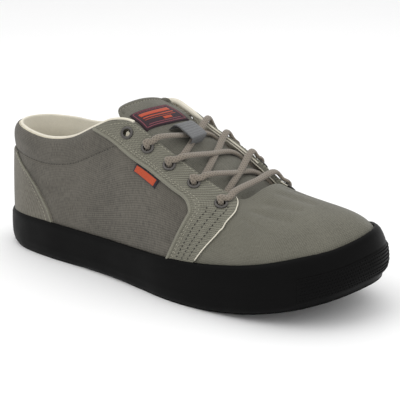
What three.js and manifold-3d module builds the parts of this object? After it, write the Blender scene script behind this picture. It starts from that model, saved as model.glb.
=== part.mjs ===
// A right canvas sneaker with a rubber foxing, standing empty on its sole.
// Millimetres, +Z up, toe towards +X, outer (lateral) side towards -Y.
// The origin is on the floor, in the middle of the shoe's length and width.
import * as THREE from 'three';
import { mergeVertices } from 'three/addons/utils/BufferGeometryUtils.js';
import Module from 'manifold-3d';

const wasm = await Module();
wasm.setup();

// Driving dimensions of the last and the sole
const SHOE_LENGTH = 288;
const BALL_WIDTH = 109;
const INSTEP_HEIGHT = 104;
const HEEL_HEIGHT = 86;
const CLEARANCE = 0.3;

const OUTSOLE_THICKNESS = 5.5;
const MIDSOLE_THICKNESS = 5;
const INSOLE_THICKNESS = 5;
const TOE_SPRING = 22;
const WAIST_RELIEF = 1.2;

// Where the sole leaves the floor: the toe's spring starts at a share of the length, and the waist's
// relief rises and falls between two shares each
const TOE_SPRING_START = 0.62;
const WAIST_RISE = [0.28, 0.36];
const WAIST_FALL = [0.42, 0.5];

const FOXING_THICKNESS = 3;
const FOXING_LIFT = 0.8;
const BUMPER_THICKNESS = 0.8;

// Driving dimensions of the upper
const WALL = 2.2;
const COLLAR_BAND = 16;
const COLLAR_PUFF = 1.6;
const COLLAR_PAD = 4.5;
const COLLAR_PAD_DEPTH = 26;
const COLLAR_ROLL = 1;
const OVERLAY = 1.1;

// Driving dimensions of the tongue and the fittings
const TONGUE_THICKNESS = 6.5;
const LABEL_THICKNESS = 0.7;
const TAG_THICKNESS = 1;
const EYELET_RADIUS = 4.2;
const EYELET_BORE_RADIUS = 2.3;
const EYELET_BARREL_WALL = 0.5;
const EYELET_FLANGE = 0.9;
const EYELET_STANDOFF = 0.5;
const EYELET_SIDES = 8;
const LACE_WIDTH = 5.2;
const LACE_THICKNESS = 2.6;
const LOOP_THICKNESS = 1;
const LOOP_HEIGHT = 8.2;

// Sizes that follow from those above
const FEATHER_HEIGHT = OUTSOLE_THICKNESS + MIDSOLE_THICKNESS + 2 * CLEARANCE;
const HALF_BALL = BALL_WIDTH / 2;
const TONGUE_GAP = LACE_THICKNESS + 2 * CLEARANCE;
const EYELET_SEAT = CLEARANCE + OVERLAY + EYELET_STANDOFF;

/** A table from its column names and one array a row, the row's name first. */
const table = (columns, rows) => rows.map(([name, ...values]) => (
  { name, ...Object.fromEntries(columns.map((key, i) => [key, values[i]])) }
));

// One row for each section round the shoe, from the back of the heel along the lateral side to the toe
// and home along the medial side. x and topX are shares of the length, y and topY of half the ball width.
// The topline's height is heel shares of the heel height and instep shares of the instep height. A section
// rises from the sole's outline (x, y): rise and reach are its lower and upper handles as shares of its
// chord, lean is the lower handle's outward tilt and pitch the upper handle's slope, in degrees. foxing is
// the height of the rubber band, in shares of the heel height.
const SECTIONS = table(
  ['x', 'y', 'topX', 'topY', 'heel', 'instep', 'rise', 'lean', 'reach', 'pitch', 'foxing'],
  [
    ['heel back', 0, 0, 0.032, 0, 1.01, 0, 0.35, -1, 0.35, 84, 0.285],
    ['lateral heel corner', 0.035, -0.385, 0.055, -0.305, 1.004, 0, 0.35, -1, 0.35, 84, 0.291],
    ['lateral heel', 0.1, -0.6, 0.115, -0.48, 0.98, 0, 0.35, 0, 0.35, 84, 0.302],
    ['lateral ankle', 0.2, -0.695, 0.195, -0.55, 0.961, 0, 0.35, 0, 0.35, 84, 0.308],
    ['lateral collar', 0.3, -0.73, 0.275, -0.57, 0.803, 0.166, 0.35, 0, 0.35, 80, 0.302],
    ['lateral collar rise', 0.4, -0.785, 0.345, -0.57, 0.445, 0.552, 0.35, 0, 0.35, 72, 0.302],
    ['lateral top corner', 0.5, -0.875, 0.4, -0.56, 0, 0.985, 0.38, 0, 0.35, 62, 0.308],
    ['lateral top eyelet', 0.58, -0.965, 0.448, -0.49, 0, 0.98, 0.4, 0, 0.36, 54, 0.32],
    ['lateral throat', 0.66, -1, 0.51, -0.45, 0, 0.88, 0.42, 0, 0.38, 46, 0.331],
    ['lateral low throat', 0.74, -1, 0.6, -0.425, 0, 0.74, 0.44, 0, 0.42, 38, 0.337],
    ['lateral front eyelet', 0.82, -0.96, 0.675, -0.4, 0, 0.635, 0.46, -1, 0.48, 28, 0.337],
    ['lateral throat corner', 0.9, -0.82, 0.715, -0.31, 0, 0.6, 0.48, -3, 0.52, 18, 0.335],
    ['lateral toe', 0.965, -0.5, 0.735, -0.1, 0, 0.645, 0.48, -5, 0.58, 13, 0.322],
    ['toe', 1, 0.02, 0.742, 0.09, 0, 0.655, 0.47, -6, 0.6, 13, 0.332],
    ['medial toe', 0.974, 0.49, 0.745, 0.26, 0, 0.63, 0.41, -6, 0.55, 20, 0.333],
    ['medial throat corner', 0.906, 0.765, 0.735, 0.39, 0, 0.59, 0.37, -10, 0.42, 32, 0.335],
    ['medial front eyelet', 0.822, 0.89, 0.69, 0.45, 0, 0.655, 0.36, -9, 0.4, 41, 0.335],
    ['medial low throat', 0.735, 0.93, 0.61, 0.48, 0, 0.785, 0.39, -4, 0.42, 42, 0.337],
    ['medial throat', 0.645, 0.87, 0.53, 0.51, 0, 0.885, 0.42, 0, 0.38, 46, 0.331],
    ['medial top eyelet', 0.56, 0.7, 0.468, 0.54, 0, 0.975, 0.4, 2, 0.36, 56, 0.32],
    ['medial top corner', 0.47, 0.575, 0.415, 0.57, 0, 1.01, 0.38, 6, 0.35, 66, 0.308],
    ['medial collar rise', 0.38, 0.55, 0.355, 0.58, 0.46, 0.57, 0.35, 8, 0.35, 76, 0.302],
    ['medial collar', 0.29, 0.6, 0.28, 0.575, 0.813, 0.168, 0.35, 5, 0.35, 82, 0.302],
    ['medial ankle', 0.2, 0.66, 0.195, 0.56, 0.967, 0, 0.35, 2, 0.35, 84, 0.308],
    ['medial heel', 0.1, 0.63, 0.115, 0.49, 0.986, 0, 0.35, 0, 0.35, 84, 0.302],
    ['medial heel corner', 0.035, 0.42, 0.055, 0.31, 1.004, 0, 0.35, -1, 0.35, 84, 0.291],
  ],
);
const ROUND = SECTIONS.length;

// The upper's overlays, as outlines in the side view: shares of the length and of the instep height
const EYESTAY_SEAM = table(['x', 'z'], [
  ['behind the top corner', 0.34, 0.967],
  ['under the top eyelet', 0.403, 0.873],
  ['under the second eyelet', 0.465, 0.79],
  ['over the side tag', 0.524, 0.725],
  ['under the fourth eyelet', 0.58, 0.649],
  ['bend', 0.615, 0.606],
  ['rear of the strap', 0.634, 0.549],
  ['strap turns down', 0.631, 0.5],
  ['strap at the sole', 0.585, 0.2],
]);
const EYESTAY_FRONT = table(['x', 'z'], [
  ['strap at the sole', 0.651, 0.2],
  ['above the foxing', 0.68, 0.333],
  ['half way', 0.702, 0.418],
  ['corner', 0.721, 0.493],
  ['round the corner', 0.725, 0.548],
  ['beside the front eyelet', 0.714, 0.596],
  ['over the front eyelet', 0.694, 0.69],
  ['over the top corner', 0.465, 1.1],
  ['behind the top corner', 0.34, 1.1],
]);
const COUNTER_OUTLINE = table(['x', 'z'], [
  ['behind the heel, low', -0.07, 0.1],
  ['behind the heel, high', -0.07, 0.9],
  ['over the collar seam', 0.03, 0.9],
  ['at the collar seam', 0.085, 0.65],
  ['shoulder', 0.13, 0.548],
  ['side', 0.16, 0.476],
  ['fall', 0.183, 0.403],
  ['low', 0.2, 0.332],
  ['at the foxing', 0.214, 0.245],
  ['under the foxing', 0.225, 0.1],
]);
const TAG_OUTLINE = table(['x', 'z'], [
  ['rear top', 0.4815, 0.7605],
  ['front top', 0.547, 0.683],
  ['front end', 0.54, 0.636],
  ['rear end', 0.4745, 0.7135],
]);

// Rows of the tongue from its root under the vamp to its top. lateral and medial are the places on the
// topline that a row spans between. The rest are lengths in millimetres, except spread, a share of that
// span, and slope, in degrees: crown is the arch's height, shift moves the row up along the slope, flap is
// how far its sides run down inside the upper, and thick is its thickness as a share of the tongue's.
const TONGUE = table(
  ['lateral', 'medial', 'crown', 'spread', 'shift', 'slope', 'flap', 'thick'],
  [
    ['root', 11, 15, 2.5, 0.8, -13, 12, 3, 0.35],
    ['throat front', 11, 15, 4, 1, 0, 12, 6, 0.45],
    ['front eyelet', 10, 16, 3.5, 1, 0, 20, 12, 0.6],
    ['low throat', 9, 17, 3, 1, 0, 24, 15, 0.75],
    ['throat', 8, 18, 3, 1, 0, 26, 16, 0.9],
    ['label foot', 7.5, 18.5, 3.2, 1, 0, 26, 16, 1],
    ['top eyelet', 7, 19, 3.5, 1, 0, 25, 15, 1],
    ['label top', 7, 19, 4, 1, 8, 25, 12, 1],
    ['shoulder', 7, 19, 4.2, 0.98, 13, 25, 9, 1],
    ['corner', 7, 19, 4, 0.92, 17, 26, 6, 0.85],
    ['top', 7, 19, 3.4, 0.78, 19.5, 27, 2, 0.45],
  ],
);

// One row for each pair of eyelets, from the collar to the toe. lateral and medial are the sections they
// sit on, and drop is how far below the topline. over and under are the places on the topline where the
// lace crosses it above and beneath, on either side.
const EYELETS = table(
  ['lateral', 'medial', 'drop', 'overLateral', 'overMedial', 'underLateral', 'underMedial'],
  [
    ['1', 6.6, 19.3, 8.5, 7, 19, 7, 19],
    ['2', 7.4, 18.5, 13.2, 7.95, 18.3, 7.9, 18.5],
    ['3', 8.14, 17.7, 14.2, 8.65, 17.55, 8.6, 17.75],
    ['4', 8.81, 16.9, 13.2, 9.35, 16.7, 9.25, 16.95],
    ['5', 9.56, 16.05, 14.9, 10.35, 15.85, 10.05, 16.2],
  ],
);

// Rows of the foxing's side from its lower edge up: level is a share of its height and depth of its
// thickness, and inside is the share of the covered part of the upper that the row backs.
const FOXING = table(['level', 'depth', 'inside'], [
  ['lower edge', 0, 0.1, -1],
  ['rounded', 0.1, 0.65, 0],
  ['bumper seat', 0.28, 0.95, 0.33],
  ['side', 0.64, 1, 0.67],
  ['shoulder', 0.93, 0.92, 1],
  ['upper edge', 1, 0.6, 1],
]);

const clamp = (value, low, high) => Math.min(high, Math.max(low, value));
const degrees = (value) => (value * Math.PI) / 180;
const smooth = (value, from, to) => THREE.MathUtils.smoothstep(value, from, to);
const steps = (from, to, count) => (
  Array.from({ length: count + 1 }, (_, i) => from + ((to - from) * i) / count)
);

/** A cubic through the rows of one column, at t between the whole numbers that are rows. */
function cubic(at, t) {
  const row = Math.floor(t);
  const f = t - row;
  const [a, b, c, d] = [at(row - 1), at(row), at(row + 1), at(row + 2)];
  const square = 2 * a - 5 * b + 4 * c - d;
  const cube = 3 * b - a - 3 * c + d;
  return b + 0.5 * ((c - a) * f + square * f ** 2 + cube * f ** 3);
}

/** A column of the sections, which close on themselves. */
const section = (key, t) => cubic((row) => SECTIONS[((row % ROUND) + ROUND) % ROUND][key], t);

/** A column of a table whose ends are open. */
const entry = (rows, key, t) => cubic((row) => rows[clamp(row, 0, rows.length - 1)][key], t);

/** How far the sole has risen off the floor at x: the ball is flat and the toe springs up. */
function toeSpring(x) {
  const start = TOE_SPRING_START * SHOE_LENGTH;
  return TOE_SPRING * clamp((x - start) / (SHOE_LENGTH - start), 0, 1) ** 2;
}

/** How far the outsole's waist stands off the floor at x, between the heel's flat and the ball's. */
function waistRelief(x) {
  const share = x / SHOE_LENGTH;
  return WAIST_RELIEF * smooth(share, ...WAIST_RISE) * (1 - smooth(share, ...WAIST_FALL));
}

/** The sole's outline in plan, moved inwards by inset. */
function outline(t, inset = 0) {
  const point = (s) => new THREE.Vector2(section('x', s) * SHOE_LENGTH, section('y', s) * HALF_BALL);
  const step = 0.02;
  const along = point(t + step).sub(point(t - step)).normalize();
  return point(t).addScaledVector(new THREE.Vector2(along.y, -along.x), -inset);
}

/** The four control points of the section at t. */
function handles(t) {
  const foot = outline(t, FOXING_THICKNESS + CLEARANCE);
  const rim = outline(t).sub(foot).normalize();
  const base = new THREE.Vector3(foot.x, foot.y, FEATHER_HEIGHT + toeSpring(foot.x));
  const top = new THREE.Vector3(
    section('topX', t) * SHOE_LENGTH,
    section('topY', t) * HALF_BALL,
    section('heel', t) * HEEL_HEIGHT + section('instep', t) * INSTEP_HEIGHT,
  );
  const chord = base.distanceTo(top);
  const lean = degrees(section('lean', t));
  const pitch = degrees(section('pitch', t));
  const down = new THREE.Vector2(base.x - top.x, base.y - top.y).normalize();
  const low = new THREE.Vector3(rim.x * Math.sin(lean), rim.y * Math.sin(lean), Math.cos(lean));
  const high = new THREE.Vector3(down.x * Math.cos(pitch), down.y * Math.cos(pitch), -Math.sin(pitch));
  return [
    base,
    low.multiplyScalar(section('rise', t) * chord).add(base),
    high.multiplyScalar(section('reach', t) * chord).add(top),
    top,
  ];
}

/** The last's surface: t runs round the shoe and h from the sole, 0, to the topline, 1. */
function lastPoint(t, h) {
  return new THREE.CubicBezierCurve3(...handles(t)).getPoint(h);
}

/** The outward normal of the last at (t, h). */
function lastNormal(t, h) {
  const step = 0.01;
  const round = lastPoint(t + step, h).sub(lastPoint(t - step, h));
  const up = lastPoint(t, Math.min(1, h + step)).sub(lastPoint(t, Math.max(0, h - step)));
  return round.cross(up).normalize();
}

/** The length of the section at t, from the sole to the topline. */
const sectionLength = (t) => new THREE.CubicBezierCurve3(...handles(t)).getLength();

/** The h that lies a length drop below the topline at t. */
const belowTopline = (t, drop) => 1 - drop / sectionLength(t);

/** The h at which the section at t reaches the height z. */
function atHeight(t, z) {
  let low = 0;
  let high = 1;
  for (let i = 0; i < 20; i += 1) {
    const middle = (low + high) / 2;
    if (lastPoint(t, middle).z < z) low = middle;
    else high = middle;
  }
  return (low + high) / 2;
}

/** How far the padded collar stands out at (t, h): it ends in a stitched groove and at the throat. */
function collarPuff(t, h) {
  const fromHeel = Math.min(t, ROUND - t);
  const share = clamp(((1 - h) * sectionLength(t)) / COLLAR_BAND, 0, 1);
  return COLLAR_PUFF * Math.sin(Math.PI * share ** 0.7) * (1 - smooth(fromHeel, 4.4, 6));
}

/** A point on the upper's outside at (t, h), moved outwards by offset. */
const upperOutside = (t, h, offset = 0) => (
  lastPoint(t, h).addScaledVector(lastNormal(t, h), collarPuff(t, h) + offset)
);

/** A point on the upper's inside at (t, h), moved inwards by offset. */
const upperInside = (t, h, offset = 0) => lastPoint(t, h).addScaledVector(lastNormal(t, h), -WALL - offset);

/** The top edge of the foxing at t, as a height. */
const foxingTop = (t) => section('foxing', t) * HEEL_HEIGHT + toeSpring(outline(t).x);

/** The rows of h that the upper and everything laid on it share: foxing, quarter or vamp, and collar band. */
function rowsOfUpper(t, from = 0) {
  const foxing = atHeight(t, foxingTop(t));
  const seam = belowTopline(t, COLLAR_BAND);
  const covered = steps(0, foxing, 3).slice(0, -1);
  const low = from > 0 ? from : foxing;
  const side = [low, ...steps(foxing, seam, 4).slice(1, -1)];
  return [...(from > 0 ? [] : covered), ...side, ...steps(seam, 1, 3)];
}

/** A closed geometry from vertices and quads or triangles, with its faces turned outwards. */
function solidGeometry(points, faces) {
  const index = faces.flatMap(([a, b, c, d]) => (d === undefined ? [a, b, c] : [a, b, c, a, c, d]));
  const loose = new THREE.BufferGeometry();
  loose.setAttribute('position', new THREE.Float32BufferAttribute(points.flatMap((p) => [p.x, p.y, p.z]), 3));
  loose.setIndex(index);
  const merged = mergeVertices(loose, 1e-4);
  const position = merged.getAttribute('position');
  const corner = (i) => new THREE.Vector3().fromBufferAttribute(position, i);
  const kept = [];
  let volume = 0;
  for (let i = 0; i < merged.index.count; i += 3) {
    const [a, b, c] = merged.index.array.slice(i, i + 3);
    if (a === b || b === c || c === a) continue;
    kept.push(a, b, c);
    volume += corner(a).dot(corner(b).cross(corner(c)));
  }
  merged.setIndex(volume < 0 ? kept.reverse() : kept);
  return merged;
}

/** A solid between two grids of points, outer[i][j] and inner[i][j], closed round i where loop is true. */
function wallSolid(outer, inner, loop) {
  const rows = outer.length;
  const columns = outer[0].length;
  const end = columns - 1;
  const out = (i, j) => (i % rows) * columns + j;
  const back = (i, j) => rows * columns + out(i, j);
  const faces = [];
  for (let i = 0; i < (loop ? rows : rows - 1); i += 1) {
    for (let j = 0; j < end; j += 1) {
      faces.push([out(i, j), out(i + 1, j), out(i + 1, j + 1), out(i, j + 1)]);
      faces.push([back(i, j), back(i, j + 1), back(i + 1, j + 1), back(i + 1, j)]);
    }
    faces.push([out(i, 0), back(i, 0), back(i + 1, 0), out(i + 1, 0)]);
    faces.push([out(i, end), out(i + 1, end), back(i + 1, end), back(i, end)]);
  }
  for (let j = 0; j < (loop ? 0 : end); j += 1) {
    const far = rows - 1;
    faces.push([out(0, j), out(0, j + 1), back(0, j + 1), back(0, j)]);
    faces.push([out(far, j), back(far, j), back(far, j + 1), out(far, j + 1)]);
  }
  return solidGeometry([...outer.flat(), ...inner.flat()], faces);
}

/** A flat oval swept along a path, its flat side turned to the directions in ups. */
function ribbonSolid(path, ups, width, thickness) {
  const sides = 6;
  const last = path.length - 1;
  const points = path.flatMap((centre, i) => {
    const along = path[Math.min(i + 1, last)].clone().sub(path[Math.max(i - 1, 0)]).normalize();
    const across = new THREE.Vector3().crossVectors(along, ups[i]).normalize();
    const up = new THREE.Vector3().crossVectors(across, along);
    return steps(0, 2 * Math.PI, sides).slice(0, -1).map((angle) => centre.clone()
      .addScaledVector(across, (Math.cos(angle) * width) / 2)
      .addScaledVector(up, (Math.sin(angle) * thickness) / 2 / Math.sin(Math.PI / 3)));
  });
  const at = (i, k) => i * sides + (k % sides);
  const faces = [];
  for (let k = 0; k < sides; k += 1) {
    for (let i = 0; i < last; i += 1) faces.push([at(i, k), at(i, k + 1), at(i + 1, k + 1), at(i + 1, k)]);
    if (k > 1) faces.push([at(0, 0), at(0, k), at(0, k - 1)], [at(last, 0), at(last, k - 1), at(last, k)]);
  }
  return solidGeometry(points, faces);
}

/** A geometry as a solid that can be joined and cut. */
function toSolid(geometry) {
  const bare = geometry.clone();
  bare.deleteAttribute('normal');
  bare.deleteAttribute('uv');
  const merged = mergeVertices(bare, 1e-4);
  return new wasm.Manifold(new wasm.Mesh({
    numProp: 3,
    vertProperties: new Float32Array(merged.getAttribute('position').array),
    triVerts: new Uint32Array(merged.index.array),
  }));
}

/** The geometry of a joined or cut solid. */
function toGeometry(solid) {
  const mesh = solid.getMesh();
  const geometry = new THREE.BufferGeometry();
  geometry.setAttribute('position', new THREE.Float32BufferAttribute(mesh.vertProperties, 3));
  geometry.setIndex(Array.from(mesh.triVerts));
  return geometry;
}

/** An outline in the side view as a prism across one side of the shoe: side is -1 lateral, 1 medial. */
function sidePrism(rows, side, shift = 0) {
  const shape = new THREE.Shape(rows.map(({ x, z }) => (
    new THREE.Vector2((x + shift) * SHOE_LENGTH, z * INSTEP_HEIGHT)
  )));
  const geometry = new THREE.ExtrudeGeometry(shape, { depth: BALL_WIDTH, bevelEnabled: false });
  geometry.rotateX(Math.PI / 2);
  if (side > 0) geometry.translate(0, BALL_WIDTH, 0);
  return toSolid(geometry);
}

/** A fitting's seat on the upper: a matrix whose y axis is the outward normal there. */
function seatOnUpper(t, drop, offset) {
  const h = belowTopline(t, drop);
  const normal = lastNormal(t, h);
  const up = lastPoint(t, h + 0.02).sub(lastPoint(t, h - 0.02)).normalize();
  const along = new THREE.Vector3().crossVectors(normal, up);
  return new THREE.Matrix4()
    .makeBasis(along, normal, up.crossVectors(along, normal))
    .setPosition(upperOutside(t, h, offset));
}

// The stations round the shoe that the upper, the sole's pieces and the overlays share
const STATIONS = 64;
const ALL_STATIONS = steps(0, ROUND, STATIONS).slice(0, -1);

/** The stations that take in the stretch between two places, which may start before the heel's back. */
function stations(from, to) {
  const first = Math.floor((from * STATIONS) / ROUND);
  const last = Math.ceil((to * STATIONS) / ROUND);
  return steps((first * ROUND) / STATIONS, (last * ROUND) / STATIONS, last - first);
}

/** A shell laid on the upper over the given stations, between two offsets from its outside. */
function shellSolid(round, rowsAt, near, far) {
  const layer = (offset) => round.map((place) => {
    const t = (place + ROUND) % ROUND;
    return rowsAt(t).map((h) => upperOutside(t, h, offset));
  });
  return toSolid(wallSolid(layer(far), layer(near), false));
}

/** A plate of the sole from bottom(x) to top(x), its edge in plan at lower(t) and upper(t). */
function plateGeometry(lower, upper, bottom, top) {
  const level = (edge, height) => steps(0, ROUND / 2, STATIONS / 2).map((t) => (
    [edge(t), edge((ROUND - t) % ROUND)].map(({ x, y }) => new THREE.Vector3(x, y, height(x)))
  ));
  return wallSolid(level(upper, top), level(lower, bottom), false);
}

function outsoleGeometry() {
  const edge = (t) => outline(t, FOXING_THICKNESS + CLEARANCE);
  const bottom = (x) => toeSpring(x) + waistRelief(x);
  return plateGeometry(edge, edge, bottom, (x) => OUTSOLE_THICKNESS + toeSpring(x));
}

function midsoleGeometry() {
  const edge = (t) => outline(t, FOXING_THICKNESS + CLEARANCE);
  const bottom = OUTSOLE_THICKNESS + CLEARANCE;
  return plateGeometry(
    edge,
    edge,
    (x) => bottom + toeSpring(x),
    (x) => bottom + MIDSOLE_THICKNESS + toeSpring(x),
  );
}

function insoleGeometry() {
  const top = FEATHER_HEIGHT + INSOLE_THICKNESS;
  const gap = 2 * CLEARANCE;
  return plateGeometry(
    (t) => upperInside(t, 0, gap),
    (t) => upperInside(t, atHeight(t, top + toeSpring(outline(t).x)), gap),
    (x) => FEATHER_HEIGHT + toeSpring(x),
    (x) => top + toeSpring(x),
  );
}

/** The foxing's outside at a row of its table, moved outwards by offset. */
function foxingOutside(t, { level, depth }, offset = 0) {
  const bottom = FOXING_LIFT + toeSpring(outline(t).x);
  const z = bottom + (foxingTop(t) - bottom) * level;
  const h = atHeight(t, z);
  const out = depth * FOXING_THICKNESS + offset;
  if (h > 0.001) return upperOutside(t, h, CLEARANCE + out);
  const p = outline(t, FOXING_THICKNESS - out);
  return new THREE.Vector3(p.x, p.y, z);
}

/** The foxing's inside at a row of its table: round the sole's plates, then against the upper. */
function foxingInside(t, { inside }) {
  if (inside > 0) return upperOutside(t, inside * atHeight(t, foxingTop(t)), CLEARANCE);
  const p = outline(t, FOXING_THICKNESS);
  const z = inside < 0 ? FOXING_LIFT : FEATHER_HEIGHT;
  return new THREE.Vector3(p.x, p.y, z + toeSpring(p.x));
}

function foxingGeometry() {
  const outer = ALL_STATIONS.map((t) => FOXING.map((row) => foxingOutside(t, row)));
  const inner = ALL_STATIONS.map((t) => FOXING.map((row) => foxingInside(t, row)));
  return wallSolid(outer, inner, true);
}

const BUMPER_SPAN = [11, 15];

/** The textured strip round the toe, laid on the lower part of the foxing. */
function toeBumperGeometry() {
  const rows = FOXING.slice(1, 4);
  const round = stations(...BUMPER_SPAN);
  const layer = (offset) => round.map((t) => rows.map((row) => foxingOutside(t, row, offset)));
  return wallSolid(layer(CLEARANCE + BUMPER_THICKNESS), layer(CLEARANCE), false);
}

/** The shaft of each eyelet with its clearance, as it passes through the upper and the eyestay. */
function eyeletHole(t, drop) {
  const radius = EYELET_BORE_RADIUS + EYELET_BARREL_WALL + CLEARANCE;
  const hole = new THREE.CylinderGeometry(radius, radius, 4 * WALL + 4 * OVERLAY, EYELET_SIDES);
  return toSolid(hole.applyMatrix4(seatOnUpper(t, drop, 0)));
}

function cutEyelets(solid, side) {
  return EYELETS.reduce((cut, row) => cut.subtract(eyeletHole(row[side], row.drop)), solid);
}

function upperGeometry() {
  const outer = ALL_STATIONS.map((t) => rowsOfUpper(t).map((h) => upperOutside(t, h)));
  const inner = ALL_STATIONS.map((t) => rowsOfUpper(t).map((h) => {
    const point = upperInside(t, h);
    return h === 0 ? point.setZ(lastPoint(t, 0).z) : point;
  }));
  const shell = toSolid(wallSolid(outer, inner, true));
  return toGeometry(cutEyelets(cutEyelets(shell, 'lateral'), 'medial'));
}

const EYESTAY_SPAN = [5, 12];
const EYESTAY_MEDIAL_SHIFT = 0.012;

/** The facing that carries the eyelets and runs down to the sole as a strap. */
function eyestayGeometry(side) {
  const lateral = side === 'lateral';
  const rowsAt = (t) => rowsOfUpper(t, atHeight(t, foxingTop(t) + CLEARANCE));
  const [rear, front] = EYESTAY_SPAN;
  const round = lateral ? stations(rear, front) : stations(ROUND - front, ROUND - rear);
  const shell = shellSolid(round, rowsAt, CLEARANCE, CLEARANCE + OVERLAY);
  const rows = [...EYESTAY_SEAM, ...EYESTAY_FRONT];
  const prism = lateral ? sidePrism(rows, -1) : sidePrism(rows, 1, EYESTAY_MEDIAL_SHIFT);
  return toGeometry(cutEyelets(shell.intersect(prism), side));
}

function heelCounterGeometry() {
  const rowsAt = (t) => {
    const rows = rowsOfUpper(t, atHeight(t, foxingTop(t) + CLEARANCE)).slice(0, -4);
    return [...rows, belowTopline(t, COLLAR_BAND + 2 * CLEARANCE)];
  };
  const shell = shellSolid(stations(-4, 4), rowsAt, CLEARANCE, CLEARANCE + OVERLAY);
  const both = sidePrism(COUNTER_OUTLINE, -1).add(sidePrism(COUNTER_OUTLINE, 1));
  return toGeometry(shell.intersect(both));
}

/** A folded tag sewn in along the eyestay's rear seam. */
function sideTagGeometry() {
  const rowsAt = (t) => rowsOfUpper(t).slice(4, -1);
  const shell = shellSolid(stations(6.2, 8.3), rowsAt, CLEARANCE, CLEARANCE + TAG_THICKNESS);
  return toGeometry(shell.intersect(sidePrism(TAG_OUTLINE, -1)));
}

// How far round from the heel's back the collar's padding runs, and where it starts to thin
const PADDING_REACH = 5.3;
const PADDING_THINS = 3.5;

/** The padded lining of the collar, which rolls a little over the topline. */
function collarPaddingGeometry() {
  const round = stations(-PADDING_REACH, PADDING_REACH);
  const levels = [1, 0.6, 0.25, 0.1, 0];
  const point = (t, share, depth) => {
    const place = (t + ROUND) % ROUND;
    const h = belowTopline(place, share * COLLAR_PAD_DEPTH);
    const roll = (1 - smooth(share, 0, 0.12)) * COLLAR_ROLL;
    const up = lastPoint(place, h).sub(lastPoint(place, h - 0.02)).normalize();
    return upperInside(place, h, CLEARANCE + depth).addScaledVector(up, roll);
  };
  const taper = (t) => 1 - 0.75 * smooth(Math.abs(t), PADDING_THINS, PADDING_REACH);
  const swell = (share) => 0.25 + 0.75 * Math.sin(Math.PI * (0.12 + 0.76 * share));
  const pad = (t, share) => COLLAR_PAD * taper(t) * swell(share);
  const wall = round.map((t) => levels.map((share) => point(t, share, 0)));
  const foot = round.map((t) => levels.map((share) => point(t, share, pad(t, share))));
  return wallSolid(wall, foot, false);
}

/** The tongue's outer surface: s runs up its rows and v across it, from -1 lateral to 1 medial. */
function tonguePoint(s, v) {
  const value = (key) => entry(TONGUE, key, s);
  const rim = (t, drop) => upperInside(t, belowTopline(t, drop), TONGUE_GAP);
  const lateral = rim(value('lateral'), 0);
  const medial = rim(value('medial'), 0);
  const centre = lateral.clone().lerp(medial, 0.5);
  const arch = new THREE.CatmullRomCurve3([
    rim(value('lateral'), value('flap')),
    lateral,
    centre.clone().setZ(centre.z + value('crown')),
    medial,
    rim(value('medial'), value('flap')),
  ]);
  const point = arch.getPoint((v + 1) / 2).sub(centre);
  point.y *= value('spread');
  const slope = degrees(value('slope'));
  const shift = new THREE.Vector3(-Math.cos(slope), 0, Math.sin(slope)).multiplyScalar(value('shift'));
  return point.add(centre).add(shift);
}

/** The tongue's outer surface at (s, v), moved outwards by offset. */
function onTongue(s, v, offset = 0) {
  const last = TONGUE.length - 1;
  const low = tonguePoint(Math.max(0, s - 0.05), v);
  const along = tonguePoint(Math.min(last, s + 0.05), v).sub(low);
  const across = tonguePoint(s, Math.min(1, v + 0.05)).sub(tonguePoint(s, Math.max(-1, v - 0.05)));
  return tonguePoint(s, v).addScaledVector(along.cross(across).normalize(), -offset);
}

const TONGUE_ACROSS = steps(-1, 1, 8);

function tongueGeometry() {
  const rows = steps(0, TONGUE.length - 1, TONGUE.length - 1);
  const thickness = (s, v) => TONGUE_THICKNESS * entry(TONGUE, 'thick', s) * (1 - 0.6 * v * v);
  const outer = rows.map((s) => TONGUE_ACROSS.map((v) => onTongue(s, v)));
  const inner = rows.map((s) => TONGUE_ACROSS.map((v) => onTongue(s, v, -thickness(s, v))));
  return wallSolid(outer, inner, false);
}

// The label's rows on the tongue, and its share of the width to either side
const LABEL_ROWS = [5, 7];
const LABEL_ACROSS = [-0.45, 0.38];

/** The woven label across the top of the tongue. */
function tongueLabelGeometry() {
  const layer = (offset) => steps(...LABEL_ROWS, 2).map((s) => (
    steps(...LABEL_ACROSS, 4).map((v) => onTongue(s, v, offset))
  ));
  return wallSolid(layer(2 * CLEARANCE + LABEL_THICKNESS), layer(2 * CLEARANCE), false);
}

const LOOP_ACROSS = [-0.11, 0.13];

/** The keeper on the tongue, a strip that bridges the lace's top crossing. */
function tongueLoopGeometry() {
  const bridge = table(['s', 'height'], [
    ['front foot', 3.58, 0],
    ['front leg', 3.54, 0.8],
    ['front bend', 3.62, 0.97],
    ['middle', 3.85, 1],
    ['rear bend', 4.15, 0.95],
    ['rear leg', 4.35, 0.7],
    ['rear foot', 4.5, 0],
  ]);
  const layer = (offset) => bridge.map(({ s, height }) => {
    const lift = 2 * CLEARANCE + offset + height * (LOOP_HEIGHT - LOOP_THICKNESS);
    return steps(...LOOP_ACROSS, 2).map((v) => onTongue(s, v, lift));
  });
  return wallSolid(layer(LOOP_THICKNESS), layer(0), false);
}

/** A rolled metal eyelet: a flange on the eyestay and a barrel through the upper. */
function eyeletGeometry() {
  const barrel = EYELET_BORE_RADIUS + EYELET_BARREL_WALL;
  const depth = EYELET_SEAT + WALL;
  const profile = [
    [EYELET_BORE_RADIUS, -depth],
    [barrel, -depth],
    [barrel, 0],
    [EYELET_RADIUS, 0],
    [0.88 * EYELET_RADIUS, EYELET_FLANGE],
    [barrel, EYELET_FLANGE],
    [EYELET_BORE_RADIUS, EYELET_FLANGE / 3],
    [EYELET_BORE_RADIUS, -depth],
  ];
  const turned = new THREE.LatheGeometry(profile.map(([x, y]) => new THREE.Vector2(x, y)), EYELET_SIDES);
  return toGeometry(toSolid(turned));
}

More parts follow.
